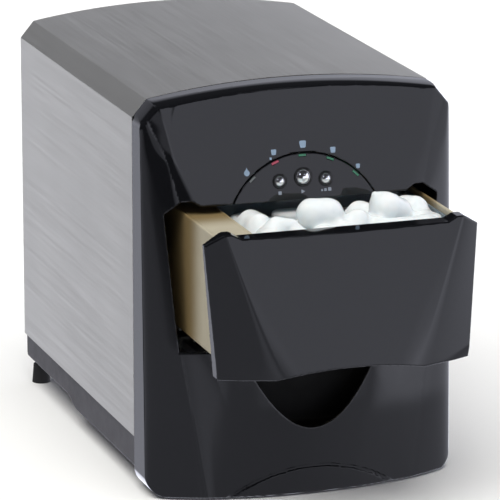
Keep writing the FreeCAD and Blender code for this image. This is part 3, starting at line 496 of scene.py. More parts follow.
def opening(x, z, grow=0.0):
    """The drawer opening: flared sides, clipped top corners and two raised ears."""
    x = np.abs(x)
    side = -slope_plane(x, z, (118.2, SILL), (127.8, 260.0))
    clip = -slope_plane(x, z, (127.8, 260.0), (112.5, 270.5))
    notch = slope_plane(x, z, (97.0, HEADER), (104.0, 270.5))
    top = np.maximum(z - 270.5, np.minimum(z - HEADER, notch))
    return round_and(np.maximum(side, SILL - z), np.maximum(clip, top), 1.5) - grow


SCOOP_HALF, SCOOP_LOW = 67.0, 63.0
CUP_HALF, CUP_LOW, CUP_BACK = 70.0, 59.0, 40.0
CUP_WALL = 3.0


def scoop(x, out, z):
    """The finger scoop's mouth: a parabola that hangs from the drawer opening."""
    bend = (SILL + 0.5 - SCOOP_LOW) / SCOOP_HALF ** 2
    curve = (SCOOP_LOW + bend * x ** 2 - z) / np.hypot(1, 2 * bend * x)
    return np.maximum(np.maximum(curve, CUP_BACK - out), z - SILL - 3)


def cup(x, out, z, grow=0.0):
    """The dark cup behind the mouth."""
    lower = round_and(np.abs(x) - CUP_HALF, CUP_LOW - z, 14.0)
    return np.maximum(round_and(lower, CUP_BACK - out, 4.0), z - SILL - 0.5) - grow


ARCH_X, ARCH_Z, ARCH_RADIUS = -1.0, 232.7, 74.8


def arch(x, z, shrink, low):
    return np.maximum(np.hypot(x - ARCH_X, z - ARCH_Z) - ARCH_RADIUS + shrink, low - z)


KICK_HALF, KICK_LOW, KICK_TOP, KICK_DEEP = 78.0, 1.0, 27.0, 0.9
KICK_GROOVE = 1.5


def kick(x, z):
    rise = KICK_TOP - KICK_LOW
    radius = (KICK_HALF ** 2 + rise ** 2) / (2 * rise)
    return np.hypot(x, z - KICK_TOP + radius) - radius


def fascia_field(x, y, z):
    out = FRONT - y
    body = fascia_body(x, out, z)
    hollow = fascia_body(x, out, z, SKIN, 2.0)
    shell = np.maximum(body, -hollow)
    jamb = np.maximum(body, opening(x, z, 3.0))
    pocket = np.maximum(body, cup(x, out, z, CUP_WALL))
    solid = np.minimum(np.minimum(shell, jamb), pocket)
    solid = np.maximum(solid, -out)
    solid = carve(solid, opening(x, z), 1.4)
    solid = carve(solid, scoop(x, out, z), 1.1)
    solid = carve(solid, np.maximum(cup(x, out, z), hollow), 0.6)
    solid = carve(solid, np.maximum(arch(x, z, 0.0, HEADER - 4), 10 - out), 0.7)
    front = fascia_front(x, out, z)
    solid = carve(solid, np.maximum(kick(x, z), -front - KICK_DEEP), 0.4)
    groove = np.maximum(np.abs(kick(x, z)) - KICK_GROOVE, -front - KICK_DEEP - 1.2)
    return carve(solid, groove, 0.5)


def panel_holes(x, y, z):
    """The round holes for the buttons and the lenses in the leaning panel."""
    holes = np.full(np.shape(x), 1e3)
    for _, bx, bz, size in BUTTONS:
        holes = np.minimum(holes, on_face_radius(x, y, z, bx, bz) - size - BEZEL_WALL - 0.1)
    around = np.arctan2(x - ARCH_X, z - ARCH_Z)
    radial = np.abs(np.hypot(x - ARCH_X, z - ARCH_Z) - LENS_RADIUS) - LENS_HALF - 0.1
    for angle in LENS_ANGLES:
        length = np.abs(around - math.radians(angle)) * LENS_RADIUS - LENS_LONG - 0.1
        holes = np.minimum(holes, round_and(radial, length, 0.6))
    return holes


BUTTONS = [("stop_button", -23.6, 283.9, 4.2), ("start_button", -1.6, 286.1, 6.1),
           ("ice_size_button", 19.4, 283.2, 4.2)]
BEZEL_WALL = 2.0
LENS_ANGLES = (-41.0, -20.8, 0.0, 21.0, 42.9)
LENS_RADIUS, LENS_HALF, LENS_LONG = 72.2, 0.9, 3.4
LEAN = math.atan2(17.0, 82.0)


def face_point(x, z):
    """A point on the leaning upper face, taken as flat."""
    return Vector((x, FRONT - (50.0 - 17.0 * (z - 271.0) / 82.0), z))


def on_face_radius(x, y, z, cx, cz):
    """Distance from the axis that stands on the upper face at (cx, cz)."""
    foot = face_point(cx, cz)
    along = (z - foot.z) * math.cos(LEAN) + (y - foot.y) * math.sin(LEAN)
    return np.hypot(x - cx, along)


def panel_field(x, y, z):
    out = FRONT - y
    front = fascia_front(x, out, z)
    plate = np.maximum(front, -front - SKIN)
    plate = round_and(plate, arch(x, z, 0.7, HEADER + 0.5), 0.7)
    return carve(plate, panel_holes(x, y, z), 0.3)


# ---------------------------------------------------------------- drawer

DRAWER_FOOT, DRAWER_EAR, DRAWER_LIP = 138.5, 267.5, 263.5


def drawer_front_form(x, out, z):
    """The drawer front's outer surface in its closed place."""
    t = (z - DRAWER_FOOT) / (DRAWER_EAR - DRAWER_FOOT)
    x = np.abs(x)
    edge_x, edge_out = 116.2 + 10.2 * t, 50.5 - 8.5 * t
    crease_x, crease_out = 67.5 + 42.0 * t, 67.0 - 16.0 * t
    sag = 76.0 - 20.0 * t - crease_out
    radius = (crease_x ** 2 + sag ** 2) / (2 * sag)
    bow = np.hypot(x, out - crease_out - sag + radius) - radius
    facet = slope_plane(x, out, (crease_x, crease_out), (edge_x, edge_out))
    return round_and(bow, facet, 0.7)


def drawer_outline(x, z, inset=0.0):
    a = np.abs(x)
    side = -slope_plane(a, z, (116.2, DRAWER_FOOT), (125.7, 257.5))
    clip = -slope_plane(a, z, (125.7, 257.5), (110.0, DRAWER_EAR))
    notch = slope_plane(a, z, (95.0, DRAWER_LIP), (103.0, DRAWER_EAR))
    top = np.maximum(z - DRAWER_EAR, np.minimum(z - DRAWER_LIP, notch))
    rise, half = 8.0, 67.5
    radius = (half ** 2 + rise ** 2) / (2 * rise)
    foot = np.maximum(DRAWER_FOOT - z, radius - np.hypot(x, z - DRAWER_FOOT - rise + radius))
    return np.maximum(round_and(np.maximum(side, clip), top, 1.0), foot) + inset


def drawer_field(x, y, z):
    out = FRONT - DRAWER_OUT - y
    body = round_and(drawer_front_form(x, out, z), drawer_outline(x, z), 1.3)
    body = np.maximum(body, 36.5 - out)
    hollow = np.maximum(drawer_front_form(x, out, z) + SKIN, drawer_outline(x, z, SKIN))
    return carve(body, hollow, 0.8)


# ---------------------------------------------------------------- tub, basket and base

def block(x, y, z, low, high, r):
    """A box from its low to its high corner with all edges rounded."""
    q = [np.maximum(a - v, v - b) + r for v, a, b in zip((x, y, z), low, high)]
    outside = np.sqrt(sum(np.maximum(c, 0) ** 2 for c in q))
    return outside + np.minimum(np.maximum(np.maximum(q[0], q[1]), q[2]), 0) - r


TUB_LOW, TUB_HIGH = box_mm("drawer_tub")
WALL, LEDGE = 3.0, 35.0


def tub_field(x, y, z):
    """The cream drawer tub: a well for the basket and a hollow insulated ledge on its left."""
    (x0, y0, z0), (x1, y1, z1) = TUB_LOW, TUB_HIGH
    body = block(x, y, z, TUB_LOW, TUB_HIGH, 1.4)
    body = np.maximum(body, round_and(np.maximum(x0 - x, x - x1), np.maximum(y0 - y, y - y1), 5.0))
    well = block(x, y, z, (x0 + LEDGE, y0 + WALL, z0 + WALL), (x1 - WALL, y1 - WALL, z1 + 30), 4.0)
    jacket = block(x, y, z, (x0 + WALL, y0 + WALL, z0 - 30), (x0 + LEDGE - WALL, y1 - WALL, z1 - WALL), 2.0)
    tray = block(x, y, z, (x0 + 2.2, y0 + 2.6, z1 - 1.0), (x0 + LEDGE - 2.2, y1 - 2.6, z1 + 9), 0.8)
    return carve(carve(carve(body, well, 1.2), jacket, 0.9), tray, 0.5)


BASKET_LOW, BASKET_HIGH = box_mm("ice_basket")
BASKET_TAPER = 7.0


def basket_field(x, y, z):
    """The clear basket: tapered walls, a thickened rim and a slotted floor."""
    height = BASKET_HIGH[2] - BASKET_LOW[2]
    inset = BASKET_TAPER * (BASKET_HIGH[2] - z) / height
    u = np.maximum(BASKET_LOW[0] - x, x - BASKET_HIGH[0]) + inset
    v = np.maximum(BASKET_LOW[1] - y, y - BASKET_HIGH[1]) + inset
    outer = round_and(u, v, 9.0)
    floor, top = BASKET_LOW[2] - z, z - BASKET_HIGH[2]
    body = round_and(round_and(outer, floor, 3.0), top, 0.8)
    hollow = round_and(outer + 2.0, floor + 2.0, 3.0)
    rim = np.maximum(np.maximum(outer, -outer - 3.6), np.abs(z - BASKET_HIGH[2] + 1.6) - 1.6)
    shell = round_or(carve(body, hollow, 0.8), rim + 0.3, 0.7)
    slots = np.full(np.shape(x), 1e3)
    for i in range(14):
        left = -60 + 12 * i
        slots = np.minimum(slots, block(x, y, z, (left, BASKET_LOW[1] + 25, BASKET_LOW[2] - 9),
                                        (left + 3, BASKET_LOW[1] + 115, BASKET_LOW[2] + 5), 1.2))
    return carve(np.maximum(shell, top), slots, 0.4)


PAN_LOW, PAN_HIGH = box_mm("base_pan")
DRAIN_X, DRAIN_Z, DRAIN_HOLE = -116.0, 40.0, 6.3
VENT_LEFT = (10, 78)                   # left edges of the two vented areas


def pan_field(x, y, z):
    """The grey base pan: a skirt that steps up towards the rear, with a vented floor."""
    back = y - FRONT
    step = np.interp(back, [190, 199, 209, 218], [PAN_LOW[2], PAN_LOW[2] + 1.6, 22.6, 24.0])
    foot = (step - z) * 0.85
    wall = np.maximum(np.abs(x) - PAN_HIGH[0], np.maximum(PAN_LOW[1] - y, y - PAN_HIGH[1]))
    upright = round_and(np.abs(x) - PAN_HIGH[0], y - PAN_HIGH[1], 4.0)
    body = round_and(np.maximum(wall, upright), foot, 3.0)
    corner = round_and(y - PAN_HIGH[1], foot, 9.0)
    body = np.maximum(np.maximum(body, corner), z - PAN_HIGH[2])
    above = np.maximum(wall + WALL, 27.2 - z)
    below = np.maximum(wall + WALL, z - 24.2)
    body = carve(carve(body, above, 0.8), below, 0.8)
    drain = np.hypot(x - DRAIN_X, z - DRAIN_Z) - DRAIN_HOLE
    body = carve(body, np.maximum(drain, PAN_HIGH[1] - 8 - y), 0.5)
    for x0 in VENT_LEFT:
        rows = (back - 217) % 12
        rows = np.minimum(rows, 12 - rows) - 2.0
        area = np.maximum(np.maximum(x0 - x, x - x0 - 60), np.maximum(213 - back, back - 328))
        body = carve(body, np.maximum(np.maximum(rows, area), np.abs(z - 25) - 6), 0.4)
    return body


# ---------------------------------------------------------------- sheet steel

STEEL_THICK, STEEL_FOLD = 1.0, 2.2


def fillet_path(points, radius, steps=5):
    """Straight runs through points, each corner turned on a small arc."""
    path = [points[0]]
    for before, at, after in zip(points, points[1:], points[2:]):
        a = np.array(before) - at
        b = np.array(after) - at
        la, lb = np.linalg.norm(a), np.linalg.norm(b)
        half = math.acos(max(-1.0, min(1.0, float(a @ b / la / lb)))) / 2
        trim = min(radius / math.tan(half), 0.45 * la, 0.45 * lb)
        p, q = at + a / la * trim, at + b / lb * trim
        for i in range(steps + 1):
            t = i / steps
            path.append(tuple((1 - t) ** 2 * p + 2 * t * (1 - t) * np.array(at) + t ** 2 * q))
    return path + [points[-1]]


def offset_path(path, by):
    """Move an open path sideways, to its right when by is positive."""
    pts = np.array(path)
    run = np.diff(pts, axis=0)
    run /= np.linalg.norm(run, axis=1, keepdims=True)
    side = np.stack([run[:, 1], -run[:, 0]], axis=1)
    mean = np.concatenate([side[:1], (side[:-1] + side[1:]) / 2, side[-1:]])
    mean /= np.maximum(1e-9, (mean ** 2).sum(1, keepdims=True))
    return pts + mean * by


def wrap_path(fold):
    """The steel's outer outline from its lower left edge over the crown."""
    crown = []
    for x in np.linspace(-TOP_HALF, TOP_HALF, 61):
        crown.append((float(x), CROWN_TOP - CROWN_RADIUS + math.sqrt(CROWN_RADIUS ** 2 - x * x)))
    corners = [(-HALF, BASE_TOP), (-HALF, SHOULDER_LOW)] + crown + [(HALF, SHOULDER_LOW), (HALF, BASE_TOP)]
    return fillet_path(corners, fold)


SHEET_EASE, SHEET_SPANS = 0.35, 24       # how far a cut edge is eased, and stations along Y


def sheet_mesh(name, path, thickness, y0, y1):
    """A sheet bent along a path and drawn out along Y, its cut edges eased."""
    ease = SHEET_EASE
    outer, inner = offset_path(path, 0.0), offset_path(path, thickness)
    outer_eased, inner_eased = offset_path(path, ease), offset_path(path, thickness - ease)
    rows = []
    stations = [(y0, True), (y0 + ease, False)]
    stations += [(y0 + (y1 - y0) * i / SHEET_SPANS, False) for i in range(1, SHEET_SPANS)]
    stations += [(y1 - ease, False), (y1, True)]
    mesh = bmesh.new()
    for y, eased_edge in stations:
        pair = (outer_eased, inner_eased) if eased_edge else (outer, inner)
        rows.append([[mesh.verts.new((p[0] * MM, y * MM, p[1] * MM)) for p in side] for side in pair])
    count = len(path)
    for a, b in zip(rows, rows[1:]):
        for i in range(count - 1):
            mesh.faces.new((a[0][i], b[0][i], b[0][i + 1], a[0][i + 1]))
            mesh.faces.new((a[1][i + 1], b[1][i + 1], b[1][i], a[1][i]))
        mesh.faces.new((a[0][0], a[1][0], b[1][0], b[0][0]))
        mesh.faces.new((a[0][-1], b[0][-1], b[1][-1], a[1][-1]))
    for row, turned in ((rows[0], False), (rows[-1], True)):
        for i in range(count - 1):
            ring = (row[0][i], row[0][i + 1], row[1][i + 1], row[1][i])
            mesh.faces.new(ring[::-1] if turned else ring)
    return closed_mesh(name, mesh)


def smooth_by_angle(mesh, degrees):
    """Smooth shading, with creases where faces meet at more than this angle."""
    smooth(mesh)
    mesh.set_sharp_from_angle(angle=math.radians(degrees))


# ---------------------------------------------------------------- turned pieces

TURN_SEGMENTS = 56


def turned_mesh(name, items):
    """Turn (radius, height) profiles round the Z axes of their matrices."""
    mesh = bmesh.new()
    for profile, matrix in items:
        rings = []
        for radius, height in profile:
            if radius < 1e-6:
                rings.append([mesh.verts.new(matrix @ Vector((0, 0, height * MM)))])
                continue
            turns = [2 * math.pi * i / TURN_SEGMENTS for i in range(TURN_SEGMENTS)]
            rings.append([mesh.verts.new(matrix @ Vector((radius * MM * math.cos(turn),
                                                          radius * MM * math.sin(turn),
                                                          height * MM))) for turn in turns])
        closed = profile[0] == profile[-1]
        if closed:
            for v in rings[-1]:
                mesh.verts.remove(v)
            rings[-1] = rings[0]
        for a, b in zip(rings, rings[1:]):
            for i in range(TURN_SEGMENTS):
                j = (i + 1) % TURN_SEGMENTS
                corners = [a[i % len(a)], a[j % len(a)], b[j % len(b)], b[i % len(b)]]
                corners = list(dict.fromkeys(corners))
                if len(corners) > 2:
                    mesh.faces.new(corners)
    data = closed_mesh(name, mesh)
    smooth_by_angle(data, 40)
    return data


def rounded_profile(points, radius, steps=4):
    """A profile with each inner corner turned on a small arc."""
    return [tuple(float(c) for c in p) for p in fillet_path(points, radius, steps)]


def face_matrix(x, z):
    """A frame on the leaning upper face, its Z pointing out of it."""
    turn = Matrix.Rotation(math.pi / 2 - LEAN, 4, "X")
    return Matrix.Translation(face_point(x, z) * MM) @ turn


def bezel_profile(size):
    """A ring with a dished inner slope and a rolled outer rim that stands 1.2 mm out."""
    outer, inner = size + BEZEL_WALL, size + 0.35
    ring = [(inner, -4.0), (inner, -0.2), (outer - 0.9, 1.15), (outer, 0.5), (outer, -4.0)]
    return rounded_profile(ring, 0.5) + [ring[0]]


def dome_profile(size):
    """A stem, a collar and a polished dome."""
    points = [(0.0, -8.0), (size * 0.55, -8.0), (size * 0.55, -2.2), (size, -2.2), (size, 0.9)]
    radius = size * 1.12
    start = math.asin(size / radius * 0.985)
    low = 0.9 - radius * math.cos(start)
    dome = [(radius * math.sin(start * (1 - i / 10)), low + radius * math.cos(start * (1 - i / 10)))
            for i in range(11)]
    dome[-1] = (0.0, dome[-1][1])
    return points + dome


def make_console():
    rings = [(bezel_profile(size), face_matrix(x, z)) for _, x, z, size in BUTTONS]
    link("button_rings", turned_mesh("button_rings", rings), "cabinet",
         MATERIALS["ring_black"], ["button_bezels"])
    for node, x, z, size in BUTTONS:
        dome = turned_mesh(node + "_dome", [(dome_profile(size), face_matrix(x, z))])
        link(node + "_dome", dome, node, MATERIALS["chrome"], [node])


def glow_material(name, colour, glow):
    """A tinted diffusing lens, lit from behind as strongly as glow says."""
    return finish_material(name, colour, 0.22, vary=0.15, patch=400.0, grain=(900.0, 0.1, 0.0001),
                           Emission_Color=(*colour, 1), Emission_Strength=glow)


def surface_y(x, z):
    """y of the fascia's front surface at one place."""
    low, high = FRONT - 90.0, FRONT
    for _ in range(40):
        mid = (low + high) / 2
        if float(fascia_front(np.array([x]), np.array([FRONT - mid]), np.array([z]))[0]) > 0:
            low = mid
        else:
            high = mid
    return low


def plate_on_face(mesh, outline, cx, cz, out, depth):
    """A thin flat shape on the curved face: outline holds (u, w) points round (cx, cz)."""
    top, bottom = [], []
    for u, w in outline:
        x, z = cx + u, cz + w * math.cos(LEAN)
        y = surface_y(x, z)
        top.append(mesh.verts.new((x * MM, (y - out) * MM, z * MM)))
        bottom.append(mesh.verts.new((x * MM, (y + depth) * MM, z * MM)))
    mesh.faces.new(top)
    mesh.faces.new(bottom[::-1])
    for i in range(len(top)):
        j = (i + 1) % len(top)
        mesh.faces.new((top[j], top[i], bottom[i], bottom[j]))


def make_plates(name, items, material, out=0.14, depth=0.3, replaces=()):
    """Thin plates on the fascia: items are (outline, x, z)."""
    mesh = bmesh.new()
    for outline, cx, cz in items:
        plate_on_face(mesh, outline, cx, cz, out, depth)
    link(name, closed_mesh(name, mesh), "cabinet", MATERIALS[material], replaces)


def drop_outline(size):
    """A water drop: a round belly and a point."""
    belly = [(size * math.cos(a), size * math.sin(a))
             for a in np.linspace(math.radians(-215), math.radians(35), 22)]
    return belly + [(0.28 * size, 1.15 * size), (0.0, 1.95 * size), (-0.28 * size, 1.15 * size)]


def cube_outline(half):
    """An ice piece: wider above than below, with clipped corners."""
    low, c = half * 0.8, half * 0.25
    return [(-low + c, -half), (low - c, -half), (low, -half + c), (half, half - c), (half - c, half),
            (-half + c, half), (-half, half - c), (-low, -half + c)]


def lens_outline(angle):
    """An arc-shaped slot that follows the panel's edge."""
    span = LENS_LONG / LENS_RADIUS
    middle = math.radians(angle)
    inner, outer = LENS_RADIUS - LENS_HALF, LENS_RADIUS + LENS_HALF
    turns = np.linspace(middle - span, middle + span, 9)
    ring = [(outer * math.sin(t), outer * math.cos(t)) for t in turns]
    ring += [(inner * math.sin(t), inner * math.cos(t)) for t in turns[::-1]]
    return [(u, w / math.cos(LEAN)) for u, w in ring]


def make_symbols():
    ice = [(drop_outline(2.6), -53.3, 292.9),
           (cube_outline(2.5), -27.4, 309.2), (cube_outline(1.1), -30.6, 303.9),
           (cube_outline(3.2), 0.0, 314.3), (cube_outline(2.6), 27.9, 307.4),
           (cube_outline(2.0), 50.6, 291.6)]
    make_plates("ice_symbols", ice, "symbol_blue")
    square = [(-1.5, -1.5), (1.5, -1.5), (1.5, 1.5), (-1.5, 1.5)]
    triangle = [(-1.5, -1.8), (1.9, 0.0), (-1.5, 1.8)]
    small = [(u * 0.55, w * 0.55) for u, w in square]
    marks = [(square, -23.9, 273.6), (triangle, -2.4, 273.6),
             (small, 15.4, 273.3), ([(u * 0.8, w * 0.8) for u, w in square], 18.6, 273.5),
             (square, 22.6, 273.7)]
    make_plates("button_symbols", marks, "symbol_grey")
    colours = ["lens_pale", "lens_red", "lens_green", "lens_green", "lens_green"]
    for i, (angle, colour) in enumerate(zip(LENS_ANGLES, colours)):
        make_plates(f"lens_{i + 1}", [(lens_outline(angle), ARCH_X, ARCH_Z)], colour, 0.05, 3.0,
                    ["indicator_lenses"] if i == 0 else ())


# ---------------------------------------------------------------- ice

# The lumps on top of the heap, each a tapered capsule from one end to the other: x from the
# basket's middle, y from its front, z from its rim, radius, then the other end's four values.
ICE_LUMPS = [
    (-75.6, 91.0, -5.7, 12.5, -73.4, 54.0, -2.1, 11.0),
    (-68.2, 24.0, 3.8, 9.0, -55.3, 24.0, 1.8, 8.5),
    (-38.0, 94.0, -1.5, 10.0, -26.5, 94.0, -2.5, 10.0),
    (-29.7, 39.0, 8.6, 14.0, -14.8, 39.0, 7.4, 14.0),
    (27.0, 79.0, -3.9, 11.5, 31.0, 70.0, -4.5, 11.0),
    (8.6, 29.0, 1.6, 10.5, 13.0, 33.0, 0.0, 10.0),
    (40.3, 44.0, 7.1, 14.5, 55.4, 54.0, -0.2, 13.5),
    (40.0, 47.0, 8.5, 12.5, 31.5, 48.0, 19.5, 2.0),
    (75.9, 64.0, -1.5, 12.0, 66.0, 82.0, -4.0, 12.0),
    (65.7, 24.0, -5.0, 8.0, 84.6, 34.0, -7.1, 8.0),
]
ICE_FILL_PITCH, ICE_FILL_RADIUS = 25.0, 13.0
ICE_CLEAR = 11.2                       # under the header, for 10 mm of lift


def tapered_capsule(x, y, z, lump):
    ax, ay, az, ra, bx, by, bz, rb = lump
    run = (bx - ax, by - ay, bz - az)
    square = sum(c * c for c in run)
    t = np.clip(((x - ax) * run[0] + (y - ay) * run[1] + (z - az) * run[2]) / square, 0, 1)
    gap = np.sqrt((x - ax - t * run[0]) ** 2 + (y - ay - t * run[1]) ** 2 + (z - az - t * run[2]) ** 2)
    return gap - ra - (rb - ra) * t


def ice_lumps():
    """The lumps on top, and rows of lumps under them that sink towards the rear."""
    rng = random.Random(11)
    lumps = list(ICE_LUMPS)
    for row in range(4):
        for column in range(7):
            x = -74 + ICE_FILL_PITCH * column + rng.uniform(-2, 2)
            y = 21 + 26 * row + rng.uniform(-2, 2)
            z = -8.5 - 3.6 * row + rng.uniform(-2, 2)
            turn = rng.uniform(0, math.pi)
            dx, dy = 5 * math.cos(turn), 5 * math.sin(turn)
            lumps.append((x - dx, y - dy, z, ICE_FILL_RADIUS, x + dx, y + dy, z - 1, ICE_FILL_RADIUS))
    return lumps


ICE_HEAP = ice_lumps()


def ice_field(x, y, z):
    """The heap of ice: smooth lumps frozen together where they touch, kept inside the basket."""
    u = x - (BASKET_LOW[0] + BASKET_HIGH[0]) / 2
    v, w = y - BASKET_LOW[1], z - BASKET_HIGH[2]
    heap = np.full(np.shape(x), 1e3)
    for lump in ICE_HEAP:
        heap = round_or(heap, tapered_capsule(u, v, w, lump), 5.0)
    # The rear lumps stay low enough for the basket's lift under the fascia's header.
    clear = round_or(z - HEADER + ICE_CLEAR, y - FRONT + 53.5, 6.0)
    heap = round_and(heap, clear, 4.0)
    ripple = 0.25 * np.sin(u * 0.31) * np.sin(v * 0.37 + 1.0) * np.sin(w * 0.33 + 0.6)
    inset = -BASKET_TAPER * w / (BASKET_HIGH[2] - BASKET_LOW[2])
    side = np.maximum(BASKET_LOW[0] - x, x - BASKET_HIGH[0]) + inset
    end = np.maximum(BASKET_LOW[1] - y, y - BASKET_HIGH[1]) + inset
    return round_and(heap + ripple, round_and(side, end, 9.0) + 3.0, 3.0)


MATERIALS["ring_black"] = finish_material("ring_black", (0.014, 0.014, 0.015), 0.16, rough_vary=0.03,
                                          grain=(500.0, 0.05, 0.0001))
MATERIALS["symbol_blue"] = finish_material("symbol_blue", (0.22, 0.30, 0.40), 0.45, vary=0.06, patch=200.0)
MATERIALS["symbol_grey"] = finish_material("symbol_grey", (0.24, 0.27, 0.32), 0.45, vary=0.06, patch=200.0)
MATERIALS["lens_pale"] = glow_material("lens_pale", (0.10, 0.11, 0.11), 0.0)
MATERIALS["lens_red"] = glow_material("lens_red", (0.30, 0.04, 0.07), 0.05)
MATERIALS["lens_green"] = glow_material("lens_green", (0.02, 0.13, 0.07), 0.05)


def ice_material():
    """Cloudy ice: clear near its skin, white with trapped bubbles towards its middle."""
    mat, tree, shader = new_material("ice_cloudy")
    cloud = noise(tree, 70.0, (1, 1, 1), 4.0, 0.6)
    tint = blend_colours(tree, remap(tree, cloud, 0, 1), (0.76, 0.81, 0.83), (0.85, 0.88, 0.89))
    tree.links.new(tint, shader.inputs["Base Color"])
    tree.links.new(remap(tree, noise(tree, 160.0), 0.10, 0.26), shader.inputs["Roughness"])
    shader.inputs["IOR"].default_value = 1.31
    shader.inputs["Transmission Weight"].default_value = 0.15
    shader.inputs["Subsurface Weight"].default_value = 0.7
    shader.inputs["Subsurface Scale"].default_value = 0.012
    shader.inputs["Subsurface Radius"].default_value = (1.0, 1.2, 1.3)
    add_bump(tree, shader, noise(tree, 55.0, (1, 1, 1), 3.0), 0.25, 0.001)
    return mat


MATERIALS["ice"] = ice_material()


# ---------------------------------------------------------------- the outer pieces

def shade_cup_inside(mesh, material):
    """Give the cup behind the finger scoop a dull black finish, made extra dark and dim in its reflections
    as painted shade for the pocket.
    """
    mesh.materials.append(material)
    centres = np.empty(len(mesh.polygons) * 3)
    mesh.polygons.foreach_get("center", centres)
    x, y, z = centres.reshape(-1, 3).T / MM
    out = FRONT - y
    deep = fascia_front(x, out, z) < -2.2
    in_cup = (np.abs(x) < CUP_HALF + 1) & (z > CUP_LOW - 1) & (z < SILL - 1.5) & (out > 1)
    mesh.polygons.foreach_set("material_index", (deep & in_cup).astype(np.int32))


shell = moulded("fascia_shell", fascia_field, (-HALF, FRONT - 74.5, FOOT_Z), (HALF, FRONT, CROWN_TOP), 1.25,
                190000, "cabinet", "gloss_black", replaces=["front_fascia"])
shade_cup_inside(shell.data, MATERIALS["cup_black"])
moulded("console_face", panel_field, (-68, FRONT - 56, HEADER), (67, FRONT - 24, 310), 0.7,
        60000, "cabinet", "gloss_black", replaces=["control_panel"])
moulded("drawer_face", drawer_field, (-127, FRONT - DRAWER_OUT - 76, DRAWER_FOOT),
        (127, FRONT - DRAWER_OUT - 36, DRAWER_EAR), 1.0, 120000, "drawer", "gloss_black",
        replaces=["drawer_front"])
moulded("tub_shell", tub_field, TUB_LOW, TUB_HIGH, 1.3, 60000, "drawer", "cream", replaces=["drawer_tub"])
moulded("basket_shell", basket_field, BASKET_LOW, BASKET_HIGH, 1.0, 80000, "basket", "clear_blue",
        replaces=["ice_basket"])
moulded("pan_shell", pan_field, PAN_LOW, PAN_HIGH, 1.5, 60000, "cabinet", "matte_black",
        MATERIALS["skirt"], ["base_pan"])
steel = sheet_mesh("steel_wrap", wrap_path(STEEL_FOLD), STEEL_THICK, FRONT, REAR)
smooth_by_angle(steel, 32)
link("steel_wrap", steel, "cabinet", MATERIALS["steel"], ["cabinet_wrap"])
make_console()
make_symbols()
ice_heap = moulded("ice_heap", ice_field, (BASKET_LOW[0], BASKET_LOW[1], BASKET_HIGH[2] - 40),
                   (BASKET_HIGH[0], BASKET_HIGH[1], BASKET_HIGH[2] + 26), 1.2, 90000, "basket",
                   "clear_blue", MATERIALS["ice"])
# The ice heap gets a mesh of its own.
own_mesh(ice_heap)


# ---------------------------------------------------------------- camera, light and floor

CAMERA_PLACE = (-1.2179, -3.5671, 1.1794)
CAMERA_DIP, CAMERA_TURN = 0.25838, -0.3284798   # radians below level, and round to the left
CAMERA_LENS = 305.07


def make_camera():
    data = bpy.data.cameras.new("camera")
    data.sensor_width = 36.0
    data.lens = CAMERA_LENS
    data.clip_end = 50.0
    camera = bpy.data.objects.new("camera", data)
    scene.collection.objects.link(camera)
    camera.location = CAMERA_PLACE
    camera.rotation_euler = (math.pi / 2 - CAMERA_DIP, 0, CAMERA_TURN)
    scene.camera = camera


make_camera()
scene.view_settings.view_transform = "Standard"
# ---------------------------------------------------------------- studio light

def world_math(tree, operation, *values):
    made = tree.nodes.new("ShaderNodeMath")
    made.operation = operation
    for i, value in enumerate(values):
        if isinstance(value, (int, float)):
            made.inputs[i].default_value = value
        else:
            tree.links.new(value, made.inputs[i])
    return made.outputs[0]


def ramp(tree, value, start, end):
    """Smooth step from 0 at start to 1 at end."""
    made = add_node(tree, "ShaderNodeMapRange", From_Min=min(start, end), From_Max=max(start, end),
                    To_Min=float(start > end), To_Max=float(start < end))
    made.interpolation_type = "SMOOTHSTEP"
    tree.links.new(value, made.inputs["Value"])
    return made.outputs["Result"]


def window(tree, value, low, high, soft):
    """1 between low and high, fading to 0 over soft on both sides."""
    rise = ramp(tree, value, low - soft, low)
    return world_math(tree, "MULTIPLY", rise, ramp(tree, value, high + soft, high))


# The studio round the object: azimuth from and to in degrees (0 in front, 90 on its right),
# height from and to in degrees, softness of each, and brightness.
STUDIO = [
    (-1, 36, -6, 16, 10, 6, 1.24),        # big softbox in front on the right
    (-22, -4, 1.8, 5, 3, 0.8, 0.55),      # its spill on the left
    (46, 128, -9, 28, 10, 10, 1.30),      # pale wall on the right
    (-10, 120, -90, -10, 10, 5, 0.50),    # table in front
    (40, 120, -90, -10, 30, 5, 0.16),
    (-140, -14, -90, -11, 6, 5, 0.50),    # table on the left
    (-180, -160, -90, -5, 4, 5, 0.75),    # bright table behind
    (-180, -168, -90, -5, 3, 5, 1.70),
    (145, 180, -90, -5, 14, 5, 2.00),
    (-180, -152, -5, 45, 6, 6, 0.36),     # backdrop
    (128, 180, -5, 21, 12, 9, 0.64),
    (21, 27, 44, 49, 1.5, 1.0, 3.0),      # short strip light over the front
    (-76, -56, 47, 52, 2, 1.0, 3.5),      # two strips high on the front left
    (-76, -56, 38, 41, 2, 1.0, 2.2),
]
DARK = 0.04                              # black drapes everywhere else


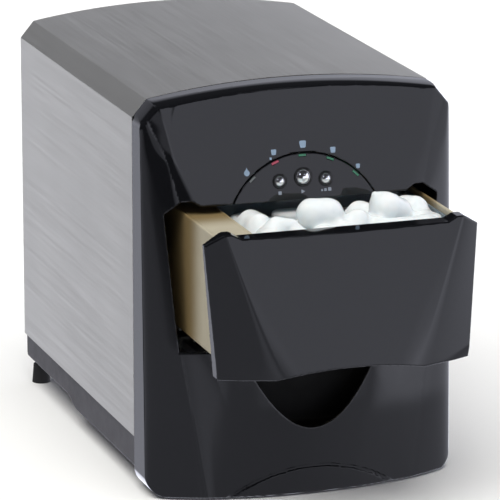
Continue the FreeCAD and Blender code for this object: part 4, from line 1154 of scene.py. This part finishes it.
def make_world():
    world = bpy.data.worlds.new("studio")
    scene.world = world
    world.use_nodes = True
    tree = world.node_tree
    coords = tree.nodes.new("ShaderNodeTexCoord")
    parts = tree.nodes.new("ShaderNodeSeparateXYZ")
    tree.links.new(coords.outputs["Generated"], parts.inputs[0])
    forward = world_math(tree, "MULTIPLY", parts.outputs["Y"], -1.0)
    turn = world_math(tree, "ARCTAN2", parts.outputs["X"], forward)
    turn = world_math(tree, "MULTIPLY", turn, 180 / math.pi)
    rise = world_math(tree, "ARCSINE", parts.outputs["Z"])
    rise = world_math(tree, "MULTIPLY", rise, 180 / math.pi)
    total = None
    for left, right, low, high, soft_turn, soft_rise, bright in STUDIO:
        patch = world_math(tree, "MULTIPLY", window(tree, turn, left, right, soft_turn),
                           window(tree, rise, low, high, soft_rise))
        patch = world_math(tree, "MULTIPLY", patch, bright)
        total = patch if total is None else world_math(tree, "ADD", total, patch)
    total = world_math(tree, "ADD", total, DARK)
    shade = tree.nodes["Background"]
    shade.inputs["Color"].default_value = (0.965, 0.985, 1.12, 1)
    tree.links.new(total, shade.inputs["Strength"])
    world.cycles.sampling_method = "MANUAL"
    world.cycles.sample_map_resolution = 1024


def make_floor():
    mesh = bpy.data.meshes.new("floor")
    mesh.from_pydata([(-30, -30, 0), (30, -30, 0), (30, 30, 0), (-30, 30, 0)], [], [(0, 1, 2, 3)])
    mat, tree, shader = new_material("floor_pale")
    shader.inputs["Base Color"].default_value = (0.86, 0.86, 0.86, 1)
    shader.inputs["Roughness"].default_value = 0.7
    shader.inputs["Specular IOR Level"].default_value = 0.1
    mesh.materials.append(mat)
    floor = bpy.data.objects.new("floor", mesh)
    scene.collection.objects.link(floor)
    floor.visible_glossy = False


def make_overhead():
    """A broad soft overhead light that falls on everything but mirror reflections."""
    data = bpy.data.lights.new("overhead", "SUN")
    data.energy = 3.8
    data.color = (1.0, 0.99, 0.95)
    data.angle = math.radians(60)
    lamp = bpy.data.objects.new("overhead", data)
    scene.collection.objects.link(lamp)
    lamp.rotation_euler = Vector((0.24, 0.24, -0.94)).to_track_quat("-Z", "Y").to_euler()
    lamp.visible_glossy = False


make_world()
make_overhead()
make_floor()
